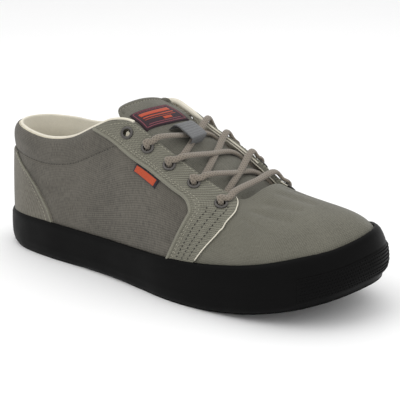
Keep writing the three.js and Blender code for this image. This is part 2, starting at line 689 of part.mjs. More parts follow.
const TONGUE_SLOPE = degrees(25);
const TONGUE_UP = new THREE.Vector3(Math.sin(TONGUE_SLOPE), 0, Math.cos(TONGUE_SLOPE));

// The row of sections from which the tongue's rows count back, and where its edges pass under the topline
const TONGUE_ROOT = 12;
const TONGUE_EDGE = 0.42;

/** The lace's stop above an eyelet and its crest over the topline, each with the side it lies flat on. */
function overEyelet(row, side) {
  const lateral = side === 'lateral';
  const over = row[lateral ? 'overLateral' : 'overMedial'];
  const above = 3 * CLEARANCE + LACE_THICKNESS / 2;
  const seat = seatOnUpper(row[side], row.drop, EYELET_SEAT + EYELET_FLANGE + above);
  const stop = new THREE.Vector3().setFromMatrixPosition(seat);
  const normal = new THREE.Vector3().setFromMatrixColumn(seat, 1);
  const crest = upperOutside(over, 1, CLEARANCE + OVERLAY + above);
  const crestUp = lastNormal(over, 1).add(TONGUE_UP).normalize();
  crest.addScaledVector(TONGUE_UP, LACE_THICKNESS / 2);
  return { points: [crest, stop], ups: [crestUp, normal] };
}

/** Where the lace comes out from beneath the topline, lying on the tongue. */
function underEdge(row, side) {
  const lateral = side === 'lateral';
  const s = lateral ? TONGUE_ROOT - row.underLateral : row.underMedial - (ROUND - TONGUE_ROOT);
  return onTongue(s, lateral ? -TONGUE_EDGE : TONGUE_EDGE, 2 * CLEARANCE + LACE_THICKNESS / 2);
}

/** A length of lace through the points, flat against ups, as a solid. */
function laceSolid(points, ups) {
  const curve = new THREE.CatmullRomCurve3(points, false, 'centripetal');
  const count = 8;
  const path = curve.getSpacedPoints(count);
  const facing = path.map((_, i) => {
    const place = curve.getUtoTmapping(i / count) * (ups.length - 1);
    const row = Math.min(Math.floor(place), ups.length - 2);
    return ups[row].clone().lerp(ups[row + 1], place - row);
  });
  return toSolid(ribbonSolid(path, facing, LACE_WIDTH, LACE_THICKNESS));
}

/** The middle of a run of lace, arched a little over the straight line between two points. */
const archedMiddle = (from, to) => (
  from.clone().lerp(to, 0.5).addScaledVector(TONGUE_UP, LACE_THICKNESS / 4)
);

/** One run of lace across the tongue, from under the topline at one eyelet to over it at the next one up. */
function laceRun(lower, upper, side) {
  const start = underEdge(lower, side);
  const { points, ups } = overEyelet(upper, side === 'lateral' ? 'medial' : 'lateral');
  const middle = archedMiddle(start, points[0]);
  return laceSolid([start, middle, ...points], [TONGUE_UP, TONGUE_UP, ...ups]);
}

function laceCrossingGeometry(lower, upper) {
  return toGeometry(laceRun(lower, upper, 'lateral').add(laceRun(lower, upper, 'medial')));
}

/** The straight bar across the front pair of eyelets. */
function laceBarGeometry(row) {
  const lateral = overEyelet(row, 'lateral');
  const medial = overEyelet(row, 'medial');
  const middle = archedMiddle(lateral.points[0], medial.points[0]);
  const points = [...lateral.points.toReversed(), middle, ...medial.points];
  return toGeometry(laceSolid(points, [...lateral.ups.toReversed(), TONGUE_UP, ...medial.ups]));
}

const finish = (color, roughness, metalness = 0) => (
  new THREE.MeshStandardMaterial({ color, roughness, metalness })
);
const canvas = finish(0x76736a, 0.95);
const binding = finish(0x68645b, 0.95);
const lining = finish(0xe0dcc8, 0.95);
const rubber = finish(0x181818, 0.6);
const cork = finish(0xc8bfa6, 0.9);
const cotton = finish(0x8f8578, 0.9);
const gunmetal = finish(0x3b3a38, 0.35, 0.9);
const plum = finish(0x3a2a30, 0.9);
const orange = finish(0xc8743c, 0.9);

const shoe = new THREE.Group();

function addPiece(name, geometry, material) {
  const mesh = new THREE.Mesh(geometry, material);
  mesh.name = name;
  shoe.add(mesh);
  return mesh;
}

addPiece('outsole', outsoleGeometry(), rubber);
addPiece('midsole', midsoleGeometry(), cork);
addPiece('insole', insoleGeometry(), lining);
addPiece('foxing', foxingGeometry(), rubber);
addPiece('toe_bumper', toeBumperGeometry(), rubber);
addPiece('upper', upperGeometry(), canvas);
addPiece('heel_counter', heelCounterGeometry(), binding);
addPiece('collar_padding', collarPaddingGeometry(), lining);
addPiece('tongue', tongueGeometry(), canvas);
addPiece('tongue_label', tongueLabelGeometry(), plum);
addPiece('tongue_loop', tongueLoopGeometry(), binding);
addPiece('side_tag', sideTagGeometry(), orange);

for (const side of ['lateral', 'medial']) {
  addPiece(`eyestay_${side}`, eyestayGeometry(side), canvas);
  for (const row of EYELETS) {
    const eyelet = addPiece(`eyelet_${side}_${row.name}`, eyeletGeometry(), gunmetal);
    eyelet.applyMatrix4(seatOnUpper(row[side], row.drop, EYELET_SEAT));
  }
}

addPiece('lace_bar', laceBarGeometry(EYELETS[4]), cotton);
addPiece('lace_cross_low', laceCrossingGeometry(EYELETS[4], EYELETS[3]), cotton);
addPiece('lace_cross_mid', laceCrossingGeometry(EYELETS[3], EYELETS[2]), cotton);
addPiece('lace_cross_top', laceCrossingGeometry(EYELETS[2], EYELETS[1]), cotton);

// Stand the shoe on the floor with the origin under its middle
const bounds = new THREE.Box3().setFromObject(shoe, true);
const middle = bounds.getCenter(new THREE.Vector3());
shoe.position.set(-middle.x, -middle.y, -bounds.min.z);
shoe.updateMatrixWorld(true);

export default shoe;
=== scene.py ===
"""The looks of a low canvas sneaker with a vulcanised rubber sole: a right shoe, standing on its sole.

Lengths are in millimetres in the last's own frame, x from the heel's back to the toe, y across and
z up, until a mesh is made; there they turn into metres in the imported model's frame.
"""

import math

import bmesh
import bpy
import numpy as np
from mathutils import Matrix, Vector


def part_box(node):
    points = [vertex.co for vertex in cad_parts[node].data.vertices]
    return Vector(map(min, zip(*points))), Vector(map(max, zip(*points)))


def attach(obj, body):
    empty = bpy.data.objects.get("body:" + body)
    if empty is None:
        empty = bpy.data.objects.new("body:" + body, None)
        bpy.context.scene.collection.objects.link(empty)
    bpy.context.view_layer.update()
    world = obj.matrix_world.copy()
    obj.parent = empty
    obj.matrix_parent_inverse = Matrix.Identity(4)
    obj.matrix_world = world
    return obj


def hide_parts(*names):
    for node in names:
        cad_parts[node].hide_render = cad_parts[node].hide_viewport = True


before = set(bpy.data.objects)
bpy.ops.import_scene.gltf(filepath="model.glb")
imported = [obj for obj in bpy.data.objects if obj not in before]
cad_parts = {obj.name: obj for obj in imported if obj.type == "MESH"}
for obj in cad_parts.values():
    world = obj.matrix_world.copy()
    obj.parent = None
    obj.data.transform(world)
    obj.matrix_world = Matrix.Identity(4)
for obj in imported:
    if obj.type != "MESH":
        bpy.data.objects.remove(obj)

bl_info = {
    "name": "Canvas sneaker",
    "version": (1, 0, 0),
    "blender": (4, 5, 0),
    "location": "3D View > Sidebar > Sneaker",
    "description": "Makes the visible pieces of a low canvas sneaker on its packed solids",
    "category": "Object",
}

# The shoe's main sizes
SHOE_LENGTH = 288.0
HALF_BALL = 54.5
INSTEP_HEIGHT = 104.0
HEEL_HEIGHT = 86.0
CLEARANCE = 0.3
OUTSOLE_THICKNESS = 5.5
INSOLE_THICKNESS = 5.0
FEATHER_HEIGHT = 11.1
TOE_SPRING = 22.0
WAIST_RELIEF = 1.2
FOXING_THICKNESS = 3.0
FOXING_LIFT = 0.8
WALL = 2.2
COLLAR_BAND = 16.0
COLLAR_PUFF = 1.6
COLLAR_PAD = 4.5
COLLAR_PAD_DEPTH = 26.0
OVERLAY = 1.1
TONGUE_THICKNESS = 6.5
TONGUE_GAP = 3.2
TONGUE_ROOT = 12
TONGUE_EDGE = 0.42
SEAM_ROW = 8.7
SEAM_ACROSS = 0.84
LOOP_HEIGHT = 8.2
EYELET_SEAT = 1.9
EYELET_FLANGE = 0.45
ROUND = 26

# The toe strip's place round the shoe and up the foxing
STRIP_START, STRIP_RUN = 10.97, 4.06
STRIP_LOW, STRIP_HIGH = 0.1, 0.54

# The photograph's camera: angles in degrees, distance in metres, and the point it turns round
CAMERA_AZIMUTH, CAMERA_ELEVATION, CAMERA_ROLL = 35.96, 16.61, -0.53
CAMERA_DISTANCE = 0.6346
CAMERA_AIM = (144.0, 0.0, 48.8)

# The radius, in metres, of the holes that are cut for the eyelets
HOLE_RADIUS = 0.00265

# Where the toe's spring starts and how far it runs, as shares of the shoe's length
SPRING_START = 0.62
SPRING_RUN = 0.38

# The levels, off the last, of the overlays' outside and of the stitches on it
OVERLAY_TOP = CLEARANCE + OVERLAY
STITCH_LEVEL = OVERLAY_TOP + 0.05
COUNTER_DROP = COLLAR_BAND + 0.6

# The size that the lace's rows are written for, before the chosen size scales them
DRAWN_WIDTH = 5.2
DRAWN_DEPTH = 2.6

# Straight out of the instep, which leans back by 25 degrees
TONGUE_UP = np.array([math.sin(math.radians(25)), 0, math.cos(math.radians(25))])

# One row a section of the last, round from the heel's back by the lateral side: its place in plan, the
# place of its top, the top's height in heel and instep heights, the two handles of its curve, and the
# height of the foxing there
SECTION_KEYS = "x y topX topY heel instep rise lean reach pitch foxing".split()
SECTIONS = np.array([
    (0, 0, .032, 0, 1.01, 0, .35, -1, .35, 84, .285),
    (.035, -.385, .055, -.305, 1.004, 0, .35, -1, .35, 84, .291),
    (.1, -.6, .115, -.48, .98, 0, .35, 0, .35, 84, .302),
    (.2, -.695, .195, -.55, .961, 0, .35, 0, .35, 84, .308),
    (.3, -.73, .275, -.57, .803, .166, .35, 0, .35, 80, .302),
    (.4, -.785, .345, -.57, .445, .552, .35, 0, .35, 72, .302),
    (.5, -.875, .4, -.56, 0, .985, .38, 0, .35, 62, .308),
    (.58, -.965, .448, -.49, 0, .98, .4, 0, .36, 54, .32),
    (.66, -1, .51, -.45, 0, .88, .42, 0, .38, 46, .331),
    (.74, -1, .6, -.425, 0, .74, .44, 0, .42, 38, .337),
    (.82, -.96, .675, -.4, 0, .635, .46, -1, .48, 28, .337),
    (.9, -.82, .715, -.31, 0, .6, .48, -3, .52, 18, .335),
    (.965, -.5, .735, -.1, 0, .645, .48, -5, .58, 13, .322),
    (1, .02, .742, .09, 0, .655, .47, -6, .6, 13, .332),
    (.974, .49, .745, .26, 0, .63, .41, -6, .55, 20, .333),
    (.906, .765, .735, .39, 0, .59, .37, -10, .42, 32, .335),
    (.822, .89, .69, .45, 0, .655, .36, -9, .4, 41, .335),
    (.735, .93, .61, .48, 0, .785, .39, -4, .42, 42, .337),
    (.645, .87, .53, .51, 0, .885, .42, 0, .38, 46, .331),
    (.56, .7, .468, .54, 0, .975, .4, 2, .36, 56, .32),
    (.47, .575, .415, .57, 0, 1.01, .38, 6, .35, 66, .308),
    (.38, .55, .355, .58, .46, .57, .35, 8, .35, 76, .302),
    (.29, .6, .28, .575, .813, .168, .35, 5, .35, 82, .302),
    (.2, .66, .195, .56, .967, 0, .35, 2, .35, 84, .308),
    (.1, .63, .115, .49, .986, 0, .35, 0, .35, 84, .302),
    (.035, .42, .055, .31, 1.004, 0, .35, -1, .35, 84, .291),
])

# The tongue's rows from its root to its top
TONGUE_KEYS = "lateral medial crown spread shift slope flap thick".split()
TONGUE = np.array([
    (11, 15, 2.5, .8, -13, 12, 3, .35),
    (11, 15, 4, 1, 0, 12, 6, .45),
    (10, 16, 3.5, 1, 0, 20, 12, .6),
    (9, 17, 3, 1, 0, 24, 15, .75),
    (8, 18, 3, 1, 0, 26, 16, .9),
    (7.5, 18.5, 3.2, 1, 0, 26, 16, 1),
    (7, 19, 3.5, 1, 0, 25, 15, 1),
    (7, 19, 4, 1, 8, 25, 12, 1),
    (7, 19, 4.2, .98, 13, 25, 9, 1),
    (7, 19, 4, .92, 17, 26, 6, .85),
    (7, 19, 3.4, .78, 19.5, 27, 2, .45),
])

SIDES = ("lateral", "medial")

# Each pair of eyelets: the lateral and the medial one's place, their drop, and on each side where the
# lace goes over the topline and where it comes out from under it
EYELETS = [
    (6.6, 19.3, 8.5, 7, 19, 7, 19),
    (7.4, 18.5, 13.2, 7.95, 18.3, 7.9, 18.5),
    (8.14, 17.7, 14.2, 8.65, 17.55, 8.6, 17.75),
    (8.81, 16.9, 13.2, 9.35, 16.7, 9.25, 16.95),
    (9.56, 16.05, 14.9, 10.35, 15.85, 10.05, 16.2),
]

# Level and depth of the foxing's outside, from its lower edge to its top
FOXING = np.array([(0, .1), (.1, .65), (.28, .95), (.64, 1), (.93, .92), (1, .6)])

# The overlays' rear edges in the side view, as shares of the shoe's length and the instep's height
EYESTAY_REAR = [(.34, .967), (.403, .873), (.465, .79), (.524, .725), (.58, .649), (.615, .606),
                (.634, .549), (.631, .5), (.617, .4), (.585, .2)]
# The eyestay's top and front edge in (t, h), with as many rows as its rear edge
EYESTAY_FRONT = np.array([(5.85, 1), (6.75, 1), (7.7, 1), (8.7, 1), (9.7, 1), (10.5, 1),
                          (10.12, .84), (9.61, .66), (9.02, .43), (8, .12)])
COUNTER_EDGE = [(.227, .245), (.212, .332), (.192, .403), (.167, .476), (.134, .548), (.08, .65)]
TAG_CORNERS = [(.4815, .7605), (.547, .683), (.54, .636), (.4745, .7135)]
MEDIAL_SHIFT = 0.012

# Creases of wear: from (t, h), to (t, h), half width and depth
CREASES = [
    (10.9, .86, 11.5, .62, 2.6, .9),
    (11.5, .9, 12.0, .7, 2.8, .8),
    (10.2, .74, 10.7, .5, 3.0, .6),
    (8.85, .64, 9.3, .53, 2.4, .8),
    (12.3, .93, 12.6, .72, 3.2, .7),
    (14.6, .92, 14.2, .72, 3.0, .8),
    (15.4, .86, 15.1, .6, 3.0, .8),
    (13.2, .95, 13.3, .8, 4.0, .6),
    (4.2, .6, 3.2, .52, 5.0, .7),
    (5.4, .42, 4.0, .36, 6.0, .6),
    (21.6, .55, 22.8, .48, 5.0, .7),
]


def linear(code):
    """The linear colour of an sRGB hex code."""
    parts = [int(code[i:i + 2], 16) / 255 for i in (1, 3, 5)]
    return tuple(p / 12.92 if p <= 0.04045 else ((p + 0.055) / 1.055) ** 2.4 for p in parts)


def smooth(value, low, high):
    part = np.clip((value - low) / (high - low), 0, 1)
    return part * part * (3 - 2 * part)


def unit(vectors):
    return vectors / np.maximum(np.linalg.norm(vectors, axis=-1, keepdims=True), 1e-12)


def through(values, place, ring=False):
    """The smooth curve through the rows of values, at place counted in rows."""
    values = np.asarray(values, float)
    place = np.asarray(place, float)
    count = len(values)
    row = np.floor(place).astype(int)
    if not ring:
        row = np.clip(row, 0, count - 2)
    part = place - row
    if values.ndim > 1:
        part = part[..., None]
    near = [row + k for k in (-1, 0, 1, 2)]
    near = [k % count if ring else np.clip(k, 0, count - 1) for k in near]
    a, b, c, d = (values[k] for k in near)
    bend = 2 * a - 5 * b + 4 * c - d
    return b + 0.5 * ((c - a) * part + bend * part ** 2 + (3 * b - a - 3 * c + d) * part ** 3)


def step_lengths(points, axis=0):
    return np.linalg.norm(np.diff(points, axis=axis), axis=-1)


def walk(lengths):
    """The way walked at each point, from the lengths of the steps between the points."""
    return np.concatenate([[0], np.cumsum(lengths)])


def section(key, t):
    return through(SECTIONS[:, SECTION_KEYS.index(key)], t, ring=True)


def tongue_row(key, s):
    return through(TONGUE[:, TONGUE_KEYS.index(key)], s)


def toe_spring(x):
    return TOE_SPRING * np.clip((x / SHOE_LENGTH - SPRING_START) / SPRING_RUN, 0, 1) ** 2


def waist_relief(x):
    share = x / SHOE_LENGTH
    return WAIST_RELIEF * smooth(share, 0.28, 0.36) * (1 - smooth(share, 0.42, 0.5))


def plan(t):
    return np.stack([section("x", t) * SHOE_LENGTH, section("y", t) * HALF_BALL], -1)


def outline(t, inset=0.0):
    """The shoe's edge in plan at t, moved inwards."""
    t = np.asarray(t, float)
    along = unit(plan(t + 0.02) - plan(t - 0.02))
    return plan(t) - inset * np.stack([along[..., 1], -along[..., 0]], -1)


def handles(t):
    """The four control points of the section at t."""
    t = np.asarray(t, float)
    foot = outline(t, FOXING_THICKNESS + CLEARANCE)
    rim = unit(outline(t) - foot)
    base = np.concatenate([foot, FEATHER_HEIGHT + toe_spring(foot[..., :1])], -1)
    height = section("heel", t) * HEEL_HEIGHT + section("instep", t) * INSTEP_HEIGHT
    top = np.stack([section("topX", t) * SHOE_LENGTH, section("topY", t) * HALF_BALL, height], -1)
    chord = np.linalg.norm(base - top, axis=-1)
    lean = np.radians(section("lean", t))
    pitch = np.radians(section("pitch", t))
    down = unit((base - top)[..., :2])
    low = np.concatenate([rim * np.sin(lean)[..., None], np.cos(lean)[..., None]], -1)
    high = np.concatenate([down * np.cos(pitch)[..., None], -np.sin(pitch)[..., None]], -1)
    low = base + low * (section("rise", t) * chord)[..., None]
    high = top + high * (section("reach", t) * chord)[..., None]
    return base, low, high, top


def last_point(t, h):
    """The last's surface: t runs round the shoe and h from the sole, 0, to the topline, 1."""
    a, b, c, d = handles(t)
    h = np.asarray(h, float)[..., None]
    g = 1 - h
    return a * g ** 3 + 3 * b * g * g * h + 3 * c * g * h * h + d * h ** 3


def last_normal(t, h):
    step = 0.01
    t = np.asarray(t, float)
    h = np.asarray(h, float)
    along = last_point(t + step, h) - last_point(t - step, h)
    up = last_point(t, np.minimum(1, h + step)) - last_point(t, np.maximum(0, h - step))
    return unit(np.cross(along, up))


def measure_sections():
    """The length of the section at each of a fine row of places round the shoe."""
    places = np.linspace(0, ROUND, 521)
    shares = np.linspace(0, 1, 41)
    points = last_point(places[:, None] + 0 * shares, shares + 0 * places[:, None])
    return places, step_lengths(points, 1).sum(1)


LENGTH_PLACES, LENGTHS = measure_sections()


def section_length(t):
    return np.interp(np.mod(t, ROUND), LENGTH_PLACES, LENGTHS)


def below_topline(t, drop):
    return 1 - drop / section_length(t)


def at_height(t, z):
    """The h at which the section at t reaches the height z."""
    t, z = np.broadcast_arrays(np.asarray(t, float), np.asarray(z, float))
    low = np.zeros(t.shape)
    high = np.ones(t.shape)
    controls = [p[..., 2] for p in handles(t)]
    for _ in range(18):
        h = (low + high) / 2
        g = 1 - h
        reached = (controls[0] * g ** 3 + 3 * controls[1] * g * g * h
                   + 3 * controls[2] * g * h * h + controls[3] * h ** 3)
        low = np.where(reached < z, h, low)
        high = np.where(reached < z, high, h)
    return (low + high) / 2


def crease_depth(points):
    """How far the listed creases push the surface in, with a soft ridge on both sides."""
    moved = np.zeros(points.shape[:-1])
    for t0, h0, t1, h1, half, depth in CREASES:
        start = last_point(t0, h0)
        run = last_point(t1, h1) - start
        share = np.clip(((points - start) @ run) / (run @ run), 0, 1)
        away = np.linalg.norm(points - start - share[..., None] * run, axis=-1) / half
        moved += depth * (1 - 0.9 * away ** 2) * np.exp(-away ** 2)
    return moved


def collar_shape(t, h):
    """How far the padded collar stands out, down to its stitched groove."""
    from_heel = np.minimum(np.mod(t, ROUND), ROUND - np.mod(t, ROUND))
    drop = (1 - h) * section_length(t)
    share = np.clip(drop / COLLAR_BAND, 0, 1)
    puff = COLLAR_PUFF * np.sin(np.pi * share ** 0.7)
    groove = 0.7 * np.exp(-((drop - COLLAR_BAND) / 0.9) ** 2)
    return puff * (1 - smooth(from_heel, 4.4, 6)) - groove * (1 - smooth(from_heel, 5.8, 6.4))


def outside(t, h, offset=0.0):
    """A point on the upper's outside at (t, h), moved outwards by offset."""
    point = last_point(t, h)
    lift = collar_shape(t, h) - crease_depth(point) + offset
    return point + last_normal(t, h) * np.asarray(lift)[..., None]


def inside(t, h, offset=0.0):
    """A point on the upper's inside at (t, h), moved inwards by offset."""
    return last_point(t, h) - last_normal(t, h) * np.asarray(WALL + offset + 0 * h)[..., None]


def foxing_top(t):
    return section("foxing", t) * HEEL_HEIGHT + toe_spring(outline(t)[..., 0])


def foxing_outside(t, level, offset=0.0):
    """The foxing's outside at a level from its lower edge, 0, to its top, 1."""
    t = np.asarray(t, float)
    depth = np.interp(level, FOXING[:, 0], FOXING[:, 1])
    bottom = FOXING_LIFT + toe_spring(outline(t)[..., 0])
    z = bottom + (foxing_top(t) - bottom) * level
    h = at_height(t, z)
    out = depth * FOXING_THICKNESS + offset
    high = last_point(t, h) + last_normal(t, h) * (CLEARANCE + out)[..., None]
    flat = plan(t) + unit(plan(t) - outline(t, 1.0)) * (out - FOXING_THICKNESS)[..., None]
    low = np.concatenate([flat, z[..., None]], -1)
    return np.where((h > 0.001)[..., None], high, low)


def place_of(x, z, side):
    """The (t, h) of the surface's point at the shares (x, z) of the side view, on the named side."""
    low, high = (0.0, 13.0) if side == "lateral" else (13.0, 26.0)
    t, h = np.meshgrid(np.linspace(low, high, 161), np.linspace(0, 1, 81), indexing="ij")
    aim = np.array([x * SHOE_LENGTH, z * INSTEP_HEIGHT])
    for _ in range(3):
        seen = last_point(t, h)[..., [0, 2]]
        best = np.unravel_index(np.argmin(np.linalg.norm(seen - aim, axis=-1)), t.shape)
        wide_t = (t.max() - t.min()) / 12
        wide_h = (h.max() - h.min()) / 8
        around_t = np.linspace(t[best] - wide_t, t[best] + wide_t, 41)
        around_h = np.clip(np.linspace(h[best] - wide_h, h[best] + wide_h, 41), 0, 1)
        found = (t[best], h[best])
        t, h = np.meshgrid(around_t, around_h, indexing="ij")
    return found


def seat(t, drop, offset):
    """A fitting's seat on the upper: its place and its sideways, outward and upward directions."""
    h = below_topline(t, drop)
    normal = last_normal(t, h)
    up = unit(last_point(t, h + 0.02) - last_point(t, h - 0.02))
    sideways = np.cross(normal, up)
    return outside(t, h, offset), sideways, normal, np.cross(sideways, normal)


def chain(points, share):
    """The centripetal curve through rows of points at a share of the way along them.

    The points are one row of places for all shares, or one row for each share.
    """
    points = np.asarray(points, float)
    share = np.asarray(share, float)
    steps = np.maximum(step_lengths(points) ** 0.5, 1e-4)
    points = np.concatenate([[2 * points[0] - points[1]], points, [2 * points[-1] - points[-2]]])
    steps = np.concatenate([steps[:1], steps, steps[-1:]])
    place = np.clip(share * (len(points) - 3), 0, len(points) - 3 - 1e-9)
    row = place.astype(int)
    part = (place - row)[..., None]
    own = (np.arange(len(share)),) if points.ndim == 3 else ()
    p0, p1, p2, p3 = (points[(row + k, *own)] for k in range(4))
    d0, d1, d2 = (steps[(row + k, *own)][..., None] for k in range(3))
    m1 = ((p1 - p0) / d0 - (p2 - p0) / (d0 + d1) + (p2 - p1) / d1) * d1
    m2 = ((p2 - p1) / d1 - (p3 - p1) / (d1 + d2) + (p3 - p2) / d2) * d1
    cube = 2 * p1 - 2 * p2 + m1 + m2
    square = -3 * p1 + 3 * p2 - 2 * m1 - m2
    return cube * part ** 3 + square * part ** 2 + m1 * part + p1


def tongue_point(s, v):
    """The tongue's outer surface: s runs up its rows and v across it, from -1 lateral to 1 medial."""
    def rim(side, drop):
        t = tongue_row(side, s)
        return inside(t, below_topline(t, drop), TONGUE_GAP)

    lateral = rim("lateral", 0)
    medial = rim("medial", 0)
    centre = (lateral + medial) / 2
    crown = centre + np.stack([0 * s, 0 * s, tongue_row("crown", s)], -1)
    flap = tongue_row("flap", s)
    rows = [rim("lateral", flap), lateral, crown, medial, rim("medial", flap)]
    point = chain(rows, (v + 1) / 2) - centre
    point[:, 1] *= tongue_row("spread", s)
    slope = np.radians(tongue_row("slope", s))
    shift = np.stack([-np.cos(slope), 0 * slope, np.sin(slope)], -1) * tongue_row("shift", s)[:, None]
    return point + centre + shift


def on_tongue(s, v, offset=0.0):
    """The tongue's outer surface at (s, v), moved outwards by offset."""
    s, v, offset = (np.atleast_1d(np.asarray(k, float)) for k in (s, v, offset))
    s, v, offset = np.broadcast_arrays(s, v, offset)
    last = len(TONGUE) - 1
    along = tongue_point(np.minimum(last, s + 0.05), v) - tongue_point(np.maximum(0, s - 0.05), v)
    across = tongue_point(s, np.minimum(1, v + 0.05)) - tongue_point(s, np.maximum(-1, v - 0.05))
    return tongue_point(s, v) - unit(np.cross(along, across)) * offset[:, None]


def local_shift():
    """The step from the last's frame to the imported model's, found on the outsole."""
    edge = outline(np.linspace(0, ROUND, 65)[:-1], FOXING_THICKNESS + CLEARANCE)
    low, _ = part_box("outsole")
    x, y = edge.min(0)
    return np.array([low.x * 1000 - x, low.y * 1000 - y, 0.0])


SHIFT = local_shift()


def to_row(points):
    """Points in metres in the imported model's frame."""
    return (np.asarray(points, float) + SHIFT) * 0.001


def matrix_at(centre, x, y, z, scale=1.0):
    """The matrix that puts a shape at a centre in the last's frame, its axes along x, y and z."""
    turn = Matrix([[x[k], y[k], z[k], 0] for k in range(3)] + [[0, 0, 0, 1]])
    sizing = Matrix.Diagonal((scale, scale, scale, 1))
    return Matrix.Translation(Vector(to_row(centre))) @ sizing @ turn


def link_mesh(name, bm):
    """A new object in the scene that takes over the bmesh."""
    mesh = bpy.data.meshes.new(name)
    bm.to_mesh(mesh)
    bm.free()
    made = bpy.data.objects.new(name, mesh)
    bpy.context.scene.collection.objects.link(made)
    return made


def mesh_object(name, bm, node_slot, replaced, *materials):
    """The piece made of the bmesh: it rides on the shoe and stands for the named nodes."""
    piece = link_mesh(name, bm)
    mesh = piece.data
    for material in materials:
        mesh.materials.append(material)
    mesh.polygons.foreach_set("use_smooth", [True] * len(mesh.polygons))
    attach(piece, "root")
    if replaced:
        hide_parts(*replaced)
    return piece


def add_grid(bm, nu, nv, place, uv):
    """A grid in the bmesh, moved to place(a, b), with the lengths uv(a, b) in millimetres as its UV map."""
    layer = bm.loops.layers.uv.verify()
    verts = bmesh.ops.create_grid(bm, x_segments=nu, y_segments=nv, size=1.0)["verts"]
    shares = (np.array([v.co[:2] for v in verts]) + 1) / 2
    points = to_row(place(shares[:, 0], shares[:, 1]))
    flat = uv(shares[:, 0], shares[:, 1])
    spots = {}
    for vert, point, spot in zip(verts, points, flat):
        vert.co = point
        spots[vert] = spot
    faces = {face for vert in verts for face in vert.link_faces}
    for face in faces:
        for loop in face.loops:
            loop[layer].uv = spots[loop.vert]
    return verts


def closed(bm):
    """Merges the bmesh's doubles and turns its faces outwards."""
    bmesh.ops.remove_doubles(bm, verts=bm.verts[:], dist=2e-6)
    bmesh.ops.dissolve_degenerate(bm, dist=1e-7, edges=bm.edges[:])
    bmesh.ops.recalc_face_normals(bm, faces=bm.faces[:])
    return bm


def eased(share):
    """A share of the way across a panel, with its rows drawn towards both edges."""
    return 0.5 - 0.5 * np.cos(np.pi * share)


def add_panel(bm, nu, nv, place, near, far, radius):
    """A panel in the bmesh from near to far off its base, with its edges folded round by radius."""
    def spread(a, b):
        zero = 0 * a
        wide = np.linalg.norm(place(zero, b, zero) - place(zero + 1, b, zero), axis=-1)
        high = np.linalg.norm(place(a, zero, zero) - place(a, zero + 1, zero), axis=-1)
        return wide, high

    def top(a, b):
        a, b = eased(a), eased(b)
        wide, high = spread(a, b)
        edge = np.minimum(np.minimum(a, 1 - a) * wide, np.minimum(b, 1 - b) * high)
        turned = np.sqrt(np.maximum(0, 1 - (1 - np.clip(edge / radius, 0, 1)) ** 2))
        return place(a, b, near + (far - near) * turned)

    def uv(a, b):
        a, b = eased(a), eased(b)
        wide, high = spread(a, b)
        return np.stack([a * wide.mean(), b * high.mean()], -1)

    add_grid(bm, nu, nv, top, uv)
    add_grid(bm, nu, nv, lambda a, b: place(eased(a), eased(b), near + 0 * a), uv)


def panel(nu, nv, place, near, far, radius):
    bm = bmesh.new()
    add_panel(bm, nu, nv, place, near, far, radius)
    return closed(bm)


def add_tube(bm, points, ups, width, thickness, around, power):
    """A closed tube along the points, flat against ups, its width and thickness given along it."""
    points = np.asarray(points, float)
    count = len(points)
    width = np.broadcast_to(width, count)
    thickness = np.broadcast_to(thickness, count)
    along = unit(np.gradient(points, axis=0))
    ups = unit(ups - (ups * along).sum(1, keepdims=True) * along)
    side = np.cross(along, ups)
    walked = walk(step_lengths(points))

    def place(a, b):
        row = np.clip(np.rint(a * (count + 1)).astype(int) - 1, 0, count - 1)
        open_end = np.where((a < 1e-6) | (a > 1 - 1e-6), 0.0, 1.0)
        angle = 2 * np.pi * b
        cos, sin = np.cos(angle), np.sin(angle)
        out = open_end * (np.abs(cos) ** power + np.abs(sin) ** power) ** (-1 / power)
        across = side[row] * (out * cos * width[row] / 2)[:, None]
        return points[row] + across + ups[row] * (out * sin * thickness[row] / 2)[:, None]

    def uv(a, b):
        row = np.clip(np.rint(a * (count + 1)).astype(int) - 1, 0, count - 1)
        return np.stack([walked[row], b * 2.6 * width[row].mean()], -1)

    add_grid(bm, count + 1, around, place, uv)


def tubes(*runs):
    """A closed bmesh with one tube for each run of add_tube's values."""
    bm = bmesh.new()
    for run in runs:
        add_tube(bm, *run)
    return closed(bm)


def resample(points, step):
    """The chain through the points, at even steps, with each row's place on it."""
    fine = np.linspace(0, 1, 60 * len(points))
    curve = chain(points, fine)
    walked = walk(step_lengths(curve))
    count = max(4, int(walked[-1] / step))
    share = np.interp(np.linspace(0, walked[-1], count + 1), walked, fine)
    return chain(points, share), share * (len(points) - 1)


def surface_run(t, h, offset):
    """Points on the upper along the rows (t, h), and the surface's normals there."""
    return outside(t, h, offset), last_normal(t, h)


def panel_run(where, a, first, last, count, offset):
    """A run up a panel at the share a across it, between two shares of the way up."""
    b = np.linspace(first, last, count)
    return surface_run(*where(0 * b + a, b), offset)


def add_stitches(bm, points, ups, width=0.55):
    """A row of sewn stitches along the points."""
    sizes = bpy.context.scene.sneaker_sizes
    pitch, length = sizes.stitch_pitch * 1000, sizes.stitch_length * 1000
    walked = walk(step_lengths(points))
    count = int(walked[-1] / pitch)
    for middle in (np.arange(count) + 0.5) * pitch:
        here, before, after = (
            np.array([np.interp(at, walked, points[:, k]) for k in range(3)])
            for at in (middle, middle - 0.4, middle + 0.4)
        )
        up = np.array([np.interp(middle, walked, ups[:, k]) for k in range(3)])
        along = unit(after - before)
        side = unit(np.cross(up, along))
        up = np.cross(along, side)
        place = matrix_at(here, along * length / 2, side * width / 2, up * width / 2, 0.001)
        bmesh.ops.create_uvsphere(bm, u_segments=5, v_segments=4, radius=1.0, matrix=place)


